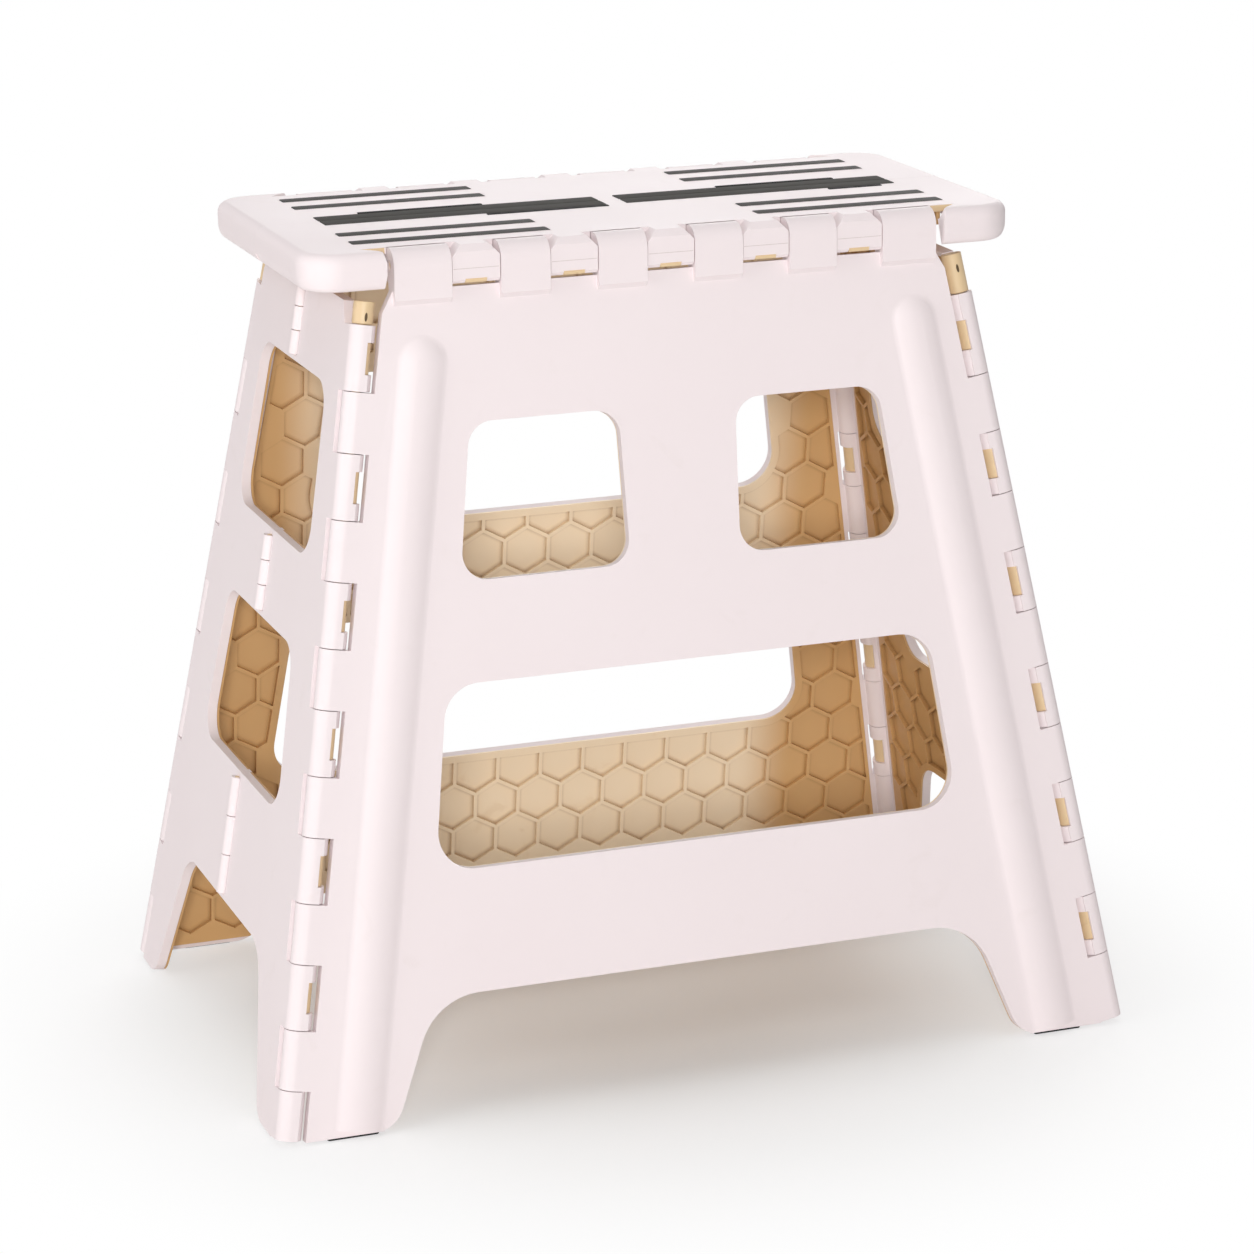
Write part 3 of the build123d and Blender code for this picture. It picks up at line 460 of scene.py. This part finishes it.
def mesh_object(name: str, points: np.ndarray, faces: Iterable[Iterable[int]]) -> bpy.types.Object:
    """Makes an object at the origin from points in metres and faces.

    Args:
        name: the object's name.
        points: an array of shape (count, 3).
        faces: corner numbers of each face.

    Returns:
        The object, linked into the scene.
    """
    mesh = bpy.data.meshes.new(name)
    mesh.from_pydata(points.tolist(), [], [tuple(face) for face in faces])
    mesh.validate()
    made = bpy.data.objects.new(name, mesh)
    bpy.context.scene.collection.objects.link(made)
    return made


def stand_in(piece: bpy.types.Object, name: str) -> None:
    """Lets a piece take the place of a node and ride on that node's body.

    Args:
        piece: the new piece.
        name: the node's name.
    """
    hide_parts(name)
    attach(piece, body_of(frame["nodes"][name])[0])


def plan_of(name: str) -> tuple[np.ndarray, np.ndarray, float, float]:
    """Middle and half size of a node's box seen from above, and its lowest and highest height.

    Args:
        name: the node's name.

    Returns:
        Middle x and y, half length and half width, low height and high height.
    """
    low, high = (np.array(corner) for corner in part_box(name))
    return (low + high)[:2] / 2, (high - low)[:2] / 2, float(low[2]), float(high[2])


def rounded_outline(half_x: float, half_y: float, radius: float, steps: int = 6) -> np.ndarray:
    """Outline of a rounded rectangle: four quarter circles about the inset corners, joined straight.

    Args:
        half_x: half its length.
        half_y: half its width.
        radius: corner radius.
        steps: segments in each corner.

    Returns:
        Points of shape (4 * (steps + 1), 2), anticlockwise.
    """
    turn = np.linspace(0.0, math.pi / 2, steps + 1)
    quarters = (np.arange(4) * math.pi / 2)[:, None] + turn[None, :]
    signs = np.array([(1, 1), (-1, 1), (-1, -1), (1, -1)], dtype=float)
    centres = signs * np.array([half_x - radius, half_y - radius])
    ring = centres[:, None, :] + radius * np.stack([np.cos(quarters), np.sin(quarters)], axis=-1)
    return ring.reshape(-1, 2)


def swept_rings(
    middle: np.ndarray, half: np.ndarray, radius: float, insets: np.ndarray, heights: np.ndarray
) -> np.ndarray:
    """Carries a profile round a rounded rectangle: each point of it is an inset of the outline and a height.

    Args:
        middle: x and y of the rectangle's middle.
        half: its half length and half width.
        radius: its corner radius, of which a fifth is kept at least.
        insets: how far each ring lies inside the outline.
        heights: how high each ring lies.

    Returns:
        Points of shape (rings, outline points, 3).
    """
    radii = np.maximum(radius - insets, radius / 5)
    rings = [rounded_outline(*(half - inset), corner) for inset, corner in zip(insets, radii)]
    flat = np.stack(rings) + middle
    tall = np.broadcast_to(heights[:, None, None], flat.shape[:2] + (1,))
    return np.concatenate([flat, tall], axis=-1)


def ring_faces(rings: int, count: int, closed: bool) -> np.ndarray:
    """Quads between neighbouring rings, and from the last ring to the first where the profile is closed.

    Args:
        rings: number of rings.
        count: points in each ring.
        closed: whether the profile runs round on itself.

    Returns:
        Corner numbers of shape (faces, 4).
    """
    low = np.arange(rings if closed else rings - 1)
    high = (low + 1) % rings
    here = np.arange(count)
    after = (here + 1) % count
    corners = [
        low[:, None] * count + here,
        low[:, None] * count + after,
        high[:, None] * count + after,
        high[:, None] * count + here,
    ]
    return np.stack(corners, axis=-1).reshape(-1, 4)


def capped_faces(rings: int, count: int) -> list[list[int]]:
    """Quads between neighbouring rings, with one flat face closing the first ring and one the last.

    Args:
        rings: number of rings.
        count: points in each ring.

    Returns:
        Corner numbers of each face.
    """
    first, last = list(range(count)), list(range((rings - 1) * count, rings * count))
    return ring_faces(rings, count, False).tolist() + [first[::-1], last]


@dataclass
class SoftMouldings:
    """Copies of the moulded nodes with their triangles merged and their edges softened."""

    finish: MouldedPlastic
    ends: tuple[str, ...]
    bevel: float
    segments: int = 2
    edge_angle: float = math.radians(32.0)
    merge: float = 0.02 * MM
    flat: float = math.radians(0.6)
    area_weight: int = 50

    def nodes(self) -> list[str]:
        """Names of the frame's nodes that this set covers."""
        return [name for name in frame["nodes"] if name.endswith(self.ends)]

    def reshape(self, points: np.ndarray) -> np.ndarray:
        """Hands the points back as they are; a kind of moulding with its own form moves them."""
        return points

    def soften(self, name: str) -> bpy.types.Object:
        """Copies one node, joins its loose triangles into flat faces and rounds its edges over.

        Args:
            name: the node's name.

        Returns:
            The softened copy.
        """
        node = frame["nodes"][name]
        mesh = bpy.data.meshes.new(f"{name}_soft")
        work = bmesh.new()
        work.from_mesh(node.data)
        bmesh.ops.remove_doubles(work, verts=work.verts, dist=self.merge)
        bmesh.ops.dissolve_degenerate(work, edges=work.edges, dist=self.merge)
        bmesh.ops.dissolve_limit(work, angle_limit=self.flat, verts=work.verts, edges=work.edges)
        work.to_mesh(mesh)
        work.free()
        points = np.empty(3 * len(mesh.vertices))
        mesh.vertices.foreach_get("co", points)
        mesh.vertices.foreach_set("co", self.reshape(points.reshape(-1, 3)).ravel())
        shade_smooth(mesh)
        mesh.set_sharp_from_angle(angle=SHELL_SHARP)
        piece = bpy.data.objects.new(f"{name}_soft", mesh)
        bpy.context.scene.collection.objects.link(piece)
        bevel = piece.modifiers.new("soft_edges", "BEVEL")
        bevel.width = self.bevel
        bevel.segments = self.segments
        bevel.limit_method = "ANGLE"
        bevel.angle_limit = self.edge_angle
        bevel.use_clamp_overlap = True
        even = piece.modifiers.new("even_normals", "WEIGHTED_NORMAL")
        even.mode = "FACE_AREA"
        even.weight = self.area_weight
        even.keep_sharp = True
        stand_in(piece, name)
        self.finish.dress(piece)
        return piece

    def build(self) -> None:
        """Softens every node of the set."""
        for name in self.nodes():
            piece = self.soften(name)
            log.info("softened %s: %d faces", name, len(piece.data.polygons))


@dataclass
class SeatShells(SoftMouldings):
    """The seat's halves, whose rim and lugs reach a little lower than the solid's, with round rim ends."""

    half_length: float = 170.0 * MM
    half_depth: float = 83.5 * MM
    corner: float = 18.0 * MM
    rim: float = 4.6 * MM
    row_half: float = 129.8 * MM
    lug_back: float = 72.9 * MM
    rim_low: float = 376.0 * MM
    fade: float = 4.0 * MM
    lug_low: float = 379.0 * MM
    drop: float = 3.0 * MM
    nose_reach: float = 139.5 * MM
    nose_back: float = 71.8 * MM
    slot_corner: tuple[float, float] = (130.5 * MM, 74.0 * MM)
    nose_middle: tuple[float, float] = (77.0 * MM, 382.5 * MM)
    nose_half: tuple[float, float] = (6.5 * MM, 7.5 * MM)
    nose_gap: float = 0.7 * MM
    nose_round: tuple[float, float] = (2.0 * MM, 3.2 * MM)

    def nose_shift(self, points: np.ndarray) -> np.ndarray:
        """Draws the rim's ends back from the barrels: a gap that grows with the squares of depth and height.

        Args:
            points: the seat half's points in metres.

        Returns:
            How far each point moves outwards along the row, none away from the rim's ends.
        """
        reach = np.abs(points[:, :2])
        near = (reach[:, 0] > self.row_half) & (reach[:, 0] < self.nose_reach)
        near &= reach[:, 1] > self.nose_back
        free = (reach[:, 0] > self.slot_corner[0]) | (reach[:, 1] > self.slot_corner[1])
        place = np.stack([np.maximum(reach[:, 1], self.nose_middle[0]), points[:, 2]], axis=1)
        share = ((place - np.array(self.nose_middle)) / np.array(self.nose_half)) ** 2
        return (near & free) * (self.nose_gap + share @ np.array(self.nose_round))

    def reshape(self, points: np.ndarray) -> np.ndarray:
        """Rounds the rim's ends, and lowers the rim and lugs: a full drop at their low edge, fading above it.

        Args:
            points: the seat half's points in metres.

        Returns:
            The points, lowered where they lie within the rim's width of the plan's outline or in a lug.
        """
        reach = np.abs(points[:, :2])
        past = reach - (np.array([self.half_length, self.half_depth]) - self.corner)
        outside = np.linalg.norm(np.maximum(past, 0.0), axis=1) - self.corner
        outside += np.minimum(past.max(axis=1), 0.0)
        in_lug = (reach[:, 0] < self.row_half) & (reach[:, 1] > self.lug_back)
        full = np.where(in_lug, self.lug_low, self.rim_low)
        share = np.clip((full + self.fade - points[:, 2]) / self.fade, 0.0, 1.0)
        lowered = points.copy()
        lowered[:, 2] -= self.drop * share * ((outside > -self.rim) | in_lug)
        lowered[:, 0] += np.sign(points[:, 0]) * self.nose_shift(points)
        return lowered


@dataclass
class PanelShells(SoftMouldings):
    """The front and back panels, whose seat barrels end a little higher than the solid's."""

    face_depth: float = 134.0 * MM
    lean: float = 0.1492
    foot_band: tuple[float, float] = (356.5 * MM, 362.5 * MM)
    row_half: float = 130.0 * MM
    rise: float = 6.0 * MM
    proud_range: tuple[float, float] = (-0.1 * MM, 0.3 * MM)

    def reshape(self, points: np.ndarray) -> np.ndarray:
        """Raises the barrels' feet: points on the panel's face slide up its slope, those proud of it go up.

        Args:
            points: the panel's points in metres.

        Returns:
            The points, with each barrel's foot raised.
        """
        proud = np.abs(points[:, 1]) - (self.face_depth - self.lean * points[:, 2])
        in_band = (points[:, 2] > self.foot_band[0]) & (points[:, 2] < self.foot_band[1])
        foot = in_band & (proud > self.proud_range[0]) & (np.abs(points[:, 0]) < self.row_half)
        on_face = foot & (proud < self.proud_range[1])
        raised = points.copy()
        raised[:, 2] += self.rise * foot
        raised[:, 1] -= np.sign(points[:, 1]) * self.lean * self.rise * on_face
        return raised


@dataclass(frozen=True)
class BarSizes:
    """Sizes of a low bar on a lug's face."""

    half_long: float
    height: float
    half_tall: float
    rise: float


@dataclass
class LugDetails:
    """Parting lines and tan tabs on the narrow lugs, tan webs in the notches, and dark keyholes of painted
    shade on the posts.
    """

    lug_count: int = 5
    lug_pitch: float = 45.8 * MM
    lug_front: float = 81.39 * MM
    tab_front: float = 80.5 * MM
    line: BarSizes = BarSizes(10.6 * MM, 379.6 * MM, 0.14 * MM, 0.06 * MM)
    tab: BarSizes = BarSizes(5.0 * MM, 374.0 * MM, 0.95 * MM, 0.3 * MM)
    notch_place: tuple[float, float] = (136.6 * MM, 72.0 * MM)
    notch: BarSizes = BarSizes(5.8 * MM, 388.3 * MM, 1.5 * MM, 0.3 * MM)
    post_radius: float = 4.7 * MM
    post_lean: tuple[float, float] = (0.1706, 0.1492)
    post_foot: tuple[float, float] = (203.5 * MM, 127.9 * MM)
    key_middle: float = 361.0 * MM
    key_half: tuple[float, float] = (0.65 * MM, 1.9 * MM)
    key_lift: float = 0.14 * MM
    key_core: float = 0.12
    bar_steps: tuple[int, int] = (9, 7)
    key_steps: tuple[int, int] = (4, 24)

    def bar(
        self, half_of_seat: Half, place: tuple[float, float], sizes: BarSizes, name: str
    ) -> bpy.types.Object:
        """Builds a low bar across a lug's face: a flat half ellipse carried straight along the row.

        Args:
            half_of_seat: the seat half that carries the lug.
            place: the bar's middle along the row, and its depth from the seat's middle.
            sizes: its half length, middle height, half height and rise.
            name: the piece's name.

        Returns:
            The bar.
        """
        along = place[0] + np.linspace(-sizes.half_long, sizes.half_long, self.bar_steps[0])
        turn = np.linspace(0.0, math.pi, self.bar_steps[1])
        grid = np.empty(self.bar_steps + (3,))
        grid[:, :, 0] = along[:, None]
        grid[:, :, 1] = half_of_seat.value * (place[1] + sizes.rise * np.sin(turn))
        grid[:, :, 2] = sizes.height + sizes.half_tall * np.cos(turn)
        faces = capped_faces(*self.bar_steps)
        if half_of_seat is Half.BACK:
            faces = [face[::-1] for face in faces]
        piece = mesh_object(f"{half_of_seat.body}_{name}", grid.reshape(-1, 3), faces)
        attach(piece, half_of_seat.body)
        log.info("drew %s", piece.name)
        return piece

    def keyhole(self, side: Side) -> bpy.types.Object:
        """Builds one keyhole of painted shade: a dark upright ellipse wrapped on the post's round face,
        closed just below it.

        Args:
            side: the end of the stool that it is on.

        Returns:
            The keyhole.
        """
        around = np.linspace(0.0, 2 * math.pi, self.key_steps[1], endpoint=False)
        front = np.linspace(self.key_core, 1.0, self.key_steps[0])
        rings = np.concatenate([front, [1.0, self.key_core]])
        lift = np.concatenate([np.ones(len(front)), [-1.0, -1.0]])
        turn = rings[:, None] * self.key_half[0] / self.post_radius * np.cos(around)
        tall = self.key_middle + rings[:, None] * self.key_half[1] * np.sin(around)
        radius = (self.post_radius + self.key_lift * lift)[:, None]
        grid = np.empty(turn.shape + (3,))
        grid[:, :, 0] = side.value * (self.post_foot[0] - self.post_lean[0] * tall) + radius * np.sin(turn)
        grid[:, :, 1] = self.post_lean[1] * tall - self.post_foot[1] - radius * np.cos(turn)
        grid[:, :, 2] = tall
        faces = [face[::-1] for face in capped_faces(*grid.shape[:2])]
        piece = mesh_object(f"keyhole_{side.word}", grid.reshape(-1, 3), faces)
        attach(piece, body_of(frame["nodes"][f"front_{side.word}_corner_rod"])[0])
        PAINTED_KEYHOLE_SHADE.dress(piece)
        return piece

    def build(self) -> None:
        """Builds the lines, tabs and webs of both halves, and the two painted-shade keyholes at the front."""
        middles = (np.arange(self.lug_count) - (self.lug_count - 1) / 2) * self.lug_pitch
        for half_of_seat in Half:
            for number, middle in enumerate(middles.tolist()):
                line = self.bar(half_of_seat, (middle, self.lug_front), self.line, f"lug_line_{number}")
                PARTING_LINE.dress(line)
                tab = self.bar(half_of_seat, (middle, self.tab_front), self.tab, f"lug_tab_{number}")
                TAN_ROD.dress(tab)
            for side in Side:
                place = (side.value * self.notch_place[0], self.notch_place[1])
                TAN_ROD.dress(self.bar(half_of_seat, place, self.notch, f"notch_web_{side.word}"))
        for side in Side:
            log.info("cut %s", self.keyhole(side).name)


@dataclass
class GripStrips:
    """Rubber strips let into the seat, with crowned edges and a fine white bead round the thin ones."""

    corner: float = 0.9 * MM
    crown: float = 0.25 * MM
    bead_gap: float = 0.12 * MM
    bead_half: float = 0.35 * MM
    bead_rise: float = 0.22 * MM
    bead_sink: float = 0.05 * MM
    seat_top: float = 390.0 * MM
    crown_steps: int = 5
    bead_steps: int = 7
    finishes: tuple[tuple[str, MouldedPlastic], ...] = (
        ("wide_strip", WIDE_GRIP),
        # The edge strips' near-black rubber also paints the shade of the gaps beside the wide strips.
        ("edge_strip", BLACK_GRIP_AND_GAP_SHADE),
        ("_strip", CHARCOAL_GRIP),
    )

    def finish_of(self, name: str) -> MouldedPlastic:
        """Finish of a strip by its kind."""
        return next(finish for end, finish in self.finishes if name.endswith(end))

    def strip(self, name: str) -> bpy.types.Object:
        """Builds one strip: its walls go straight up and turn over in a quarter circle into a flat top.

        Args:
            name: the node it takes the place of.

        Returns:
            The strip.
        """
        middle, half, low, high = plan_of(name)
        turn = np.linspace(0.0, math.pi / 2, self.crown_steps)
        insets = np.concatenate([[0.0], self.crown * (1 - np.cos(turn))])
        heights = np.concatenate([[low], high - self.crown * (1 - np.sin(turn))])
        rings = swept_rings(middle, half, self.corner, insets, heights)
        piece = mesh_object(f"{name}_rubber", rings.reshape(-1, 3), capped_faces(*rings.shape[:2]))
        piece.data.set_sharp_from_angle(angle=RUBBER_SHARP)
        shade_smooth(piece.data)
        stand_in(piece, name)
        self.finish_of(name).dress(piece)
        return piece

    def bead(self, name: str, half_of_seat: Half) -> bpy.types.Object:
        """Builds the raised line round a strip's pocket: a flat half ellipse carried round its outline.

        Args:
            name: the strip's node.
            half_of_seat: the seat half that the bead belongs to.

        Returns:
            The bead.
        """
        middle, half, _, _ = plan_of(name)
        grow = self.bead_gap + 2 * self.bead_half
        turn = np.linspace(0.0, math.pi, self.bead_steps)
        insets = self.bead_half * (1 - np.cos(turn))
        heights = self.seat_top - self.bead_sink + (self.bead_rise + self.bead_sink) * np.sin(turn)
        rings = swept_rings(middle, half + grow, self.corner + grow, insets, heights)
        faces = ring_faces(*rings.shape[:2], True).tolist()
        piece = mesh_object(f"{name}_bead", rings.reshape(-1, 3), faces)
        shade_smooth(piece.data)
        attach(piece, half_of_seat.body)
        BLUSH_WHITE.dress(piece)
        return piece

    def build(self) -> None:
        """Builds every strip, and a bead round each thin one."""
        strips = [node for node in frame["nodes"] if node.endswith("_strip")]
        for half_of_seat in Half:
            for name in [strip for strip in strips if strip.startswith(half_of_seat.body)]:
                log.info("laid %s", self.strip(name).name)
                if name.endswith(("outer_strip", "inner_strip")):
                    log.info("drew %s", self.bead(name, half_of_seat).name)


@dataclass
class FootPads:
    """Rubber pads under the legs, with rounded edges."""

    corner: float = 1.2 * MM
    round_over: float = 0.5 * MM
    steps: int = 5

    def pad(self, name: str) -> bpy.types.Object:
        """Builds one pad: a profile that turns in at floor and top, carried round a rounded rectangle.

        Args:
            name: the node it takes the place of.

        Returns:
            The pad.
        """
        middle, half, low, high = plan_of(name)
        turn = np.linspace(0.0, math.pi / 2, self.steps)
        out, over = self.round_over * (1 - np.sin(turn)), self.round_over * (1 - np.cos(turn))
        insets = np.concatenate([out, over])
        heights = np.concatenate([low + over, high - out])
        rings = swept_rings(middle, half, self.corner, insets, heights)
        piece = mesh_object(f"{name}_rubber", rings.reshape(-1, 3), capped_faces(*rings.shape[:2]))
        piece.data.set_sharp_from_angle(angle=RUBBER_SHARP)
        stand_in(piece, name)
        PAD_RUBBER.dress(piece)
        return piece

    def build(self) -> None:
        """Builds the pad of each leg."""
        for name in [node for node in frame["nodes"] if node.endswith("_foot_pad")]:
            log.info("set %s", self.pad(name).name)


@dataclass(frozen=True)
class Lamp:
    """A soft square lamp: its place in metres, the length of its side and its power in watts."""

    name: str
    place: tuple[float, float, float]
    size: float
    power: float


@dataclass
class Studio:
    """Pale floor, soft lamps, a white world and the camera at the photograph's angle."""

    camera_place: tuple[float, float, float] = (-0.6252, -1.7441, 0.7178)
    yaw: float = math.radians(19.72)
    pitch: float = math.radians(15.54)
    roll: float = math.radians(-0.66)
    focal_pixels: float = 4026.8
    photo_pixels: float = 1254.0
    slide_x: float = 13.45
    slide_y: float = -38.79
    sensor: float = 36.0
    floor_half: float = 30.0
    clip: tuple[float, float] = (0.05, 100.0)
    fade_near: float = 0.06
    fade_far: float = 0.36
    even_light: float = 0.25
    aim_point: tuple[float, float, float] = (0.0, 0.0, 0.2)
    lamps: tuple[Lamp, ...] = (
        Lamp("key_lamp", (-0.94, -2.62, 0.96), 0.45, 39.0),
        Lamp("top_lamp", (0.0, 0.2, 2.6), 2.0, 17.0),
        Lamp("left_lamp", (-2.4, -0.4, 0.9), 1.5, 17.5),
        Lamp("back_lamp", (1.3, 2.4, 1.3), 1.8, 24.0),
    )

    def camera(self) -> None:
        """Places the camera: its axes follow yaw, pitch and roll, and its lens the fitted focal length."""
        data = bpy.data.cameras.new("photo_camera")
        data.sensor_width = self.sensor
        data.lens = self.sensor * self.focal_pixels / self.photo_pixels
        data.shift_x = self.slide_x / self.photo_pixels
        data.shift_y = self.slide_y / self.photo_pixels
        data.clip_start, data.clip_end = self.clip
        level = math.cos(self.pitch)
        ahead = Vector((math.sin(self.yaw) * level, math.cos(self.yaw) * level, -math.sin(self.pitch)))
        right = Vector((math.cos(self.yaw), -math.sin(self.yaw), 0.0))
        up = right.cross(ahead)
        turned_right = right * math.cos(self.roll) + up * math.sin(self.roll)
        turned_up = up * math.cos(self.roll) - right * math.sin(self.roll)
        rotation = Matrix((turned_right, turned_up, -ahead)).transposed()
        eye = bpy.data.objects.new("photo_camera", data)
        eye.matrix_world = Matrix.Translation(self.camera_place) @ rotation.to_4x4()
        bpy.context.scene.collection.objects.link(eye)
        bpy.context.scene.camera = eye

    def floor_material(self) -> bpy.types.Material:
        """Matt white near the stool, where its shadow falls, fading to plain white for the camera far out.

        Returns:
            The material.
        """
        made = bpy.data.materials.new("studio_floor")
        made.use_nodes = True
        nodes, link = made.node_tree.nodes, made.node_tree.links.new
        shader = nodes["Principled BSDF"]
        shader.inputs["Base Color"].default_value = srgb(252, 251, 250)
        shader.inputs["Roughness"].default_value = 0.95
        shader.inputs["Specular IOR Level"].default_value = 0.05
        glow = nodes.new("ShaderNodeEmission")
        glow.inputs["Color"].default_value = WHITE
        place = nodes.new("ShaderNodeTexCoord")
        reach = nodes.new("ShaderNodeVectorMath")
        reach.operation = "LENGTH"
        fade = nodes.new("ShaderNodeMapRange")
        fade.interpolation_type = "SMOOTHSTEP"
        fade.inputs["From Min"].default_value = self.fade_near
        fade.inputs["From Max"].default_value = self.fade_far
        path = nodes.new("ShaderNodeLightPath")
        seen = nodes.new("ShaderNodeMath")
        seen.operation = "MULTIPLY"
        mix = nodes.new("ShaderNodeMixShader")
        link(place.outputs["Object"], reach.inputs[0])
        link(reach.outputs["Value"], fade.inputs["Value"])
        link(fade.outputs["Result"], seen.inputs[0])
        link(path.outputs["Is Camera Ray"], seen.inputs[1])
        link(seen.outputs[0], mix.inputs["Fac"])
        link(shader.outputs["BSDF"], mix.inputs[1])
        link(glow.outputs["Emission"], mix.inputs[2])
        link(mix.outputs["Shader"], nodes["Material Output"].inputs["Surface"])
        return made

    def floor(self) -> None:
        """Lays the floor that the pads stand on."""
        signs = np.array([(-1, -1, 0), (1, -1, 0), (1, 1, 0), (-1, 1, 0)])
        ground = mesh_object("studio_floor", self.floor_half * signs, [(0, 1, 2, 3)])
        ground.data.materials.append(self.floor_material())

    def hang(self, lamp: Lamp) -> None:
        """Adds one lamp, turned to face the stool's middle.

        Args:
            lamp: the lamp to add.
        """
        data = bpy.data.lights.new(lamp.name, "AREA")
        data.size = lamp.size
        data.energy = lamp.power
        light = bpy.data.objects.new(lamp.name, data)
        light.location = lamp.place
        aim = Vector(self.aim_point) - Vector(lamp.place)
        light.rotation_mode = "QUATERNION"
        light.rotation_quaternion = aim.to_track_quat("-Z", "Y")
        bpy.context.scene.collection.objects.link(light)

    def world(self) -> None:
        """White to the camera, reflections and glass, and a softer even light for everything else."""
        world = bpy.data.worlds.new("studio_world")
        world.use_nodes = True
        bpy.context.scene.world = world
        nodes, link = world.node_tree.nodes, world.node_tree.links.new
        background = nodes["Background"]
        background.inputs["Color"].default_value = WHITE
        path = nodes.new("ShaderNodeLightPath")
        seen = nodes.new("ShaderNodeMath")
        seen.operation = "MAXIMUM"
        seen_too = nodes.new("ShaderNodeMath")
        seen_too.operation = "MAXIMUM"
        strength = nodes.new("ShaderNodeMapRange")
        strength.inputs["To Min"].default_value = self.even_light
        strength.inputs["To Max"].default_value = 1.0
        link(path.outputs["Is Camera Ray"], seen.inputs[0])
        link(path.outputs["Is Glossy Ray"], seen.inputs[1])
        link(seen.outputs[0], seen_too.inputs[0])
        link(path.outputs["Is Transmission Ray"], seen_too.inputs[1])
        link(seen_too.outputs[0], strength.inputs["Value"])
        link(strength.outputs["Result"], background.inputs["Strength"])

    def build(self) -> None:
        """Sets up the whole studio."""
        bpy.context.scene.view_settings.view_transform = "Standard"
        self.world()
        self.floor()
        for lamp in self.lamps:
            self.hang(lamp)
        self.camera()
        log.info("studio ready")


def main() -> None:
    """Builds the studio and dresses the stool."""
    Studio().build()
    PanelShells(BLUSH_WHITE, ("front_panel_shell", "back_panel_shell"), SHELL_BEVEL).build()
    SoftMouldings(BLUSH_WHITE, ("_side_shell",), SHELL_BEVEL).build()
    SeatShells(BLUSH_WHITE, ("seat_front_shell", "seat_back_shell"), SHELL_BEVEL).build()
    # Panel and seat liners take the lit copy of the tan, side liners the shaded copy: painted light and
    # painted shade.
    liners = ("_panel_liner", "seat_front_liner", "seat_back_liner")
    SoftMouldings(LIT_TAN_LINER, liners, LINER_BEVEL).build()
    SoftMouldings(SHADED_TAN_SIDE_LINER, ("_side_liner",), LINER_BEVEL).build()
    SoftMouldings(TAN_ROD, ("_rod", "_pins"), ROD_BEVEL).build()
    GripStrips().build()
    LugDetails().build()
    FootPads().build()


if __name__ == "__main__":
    main()
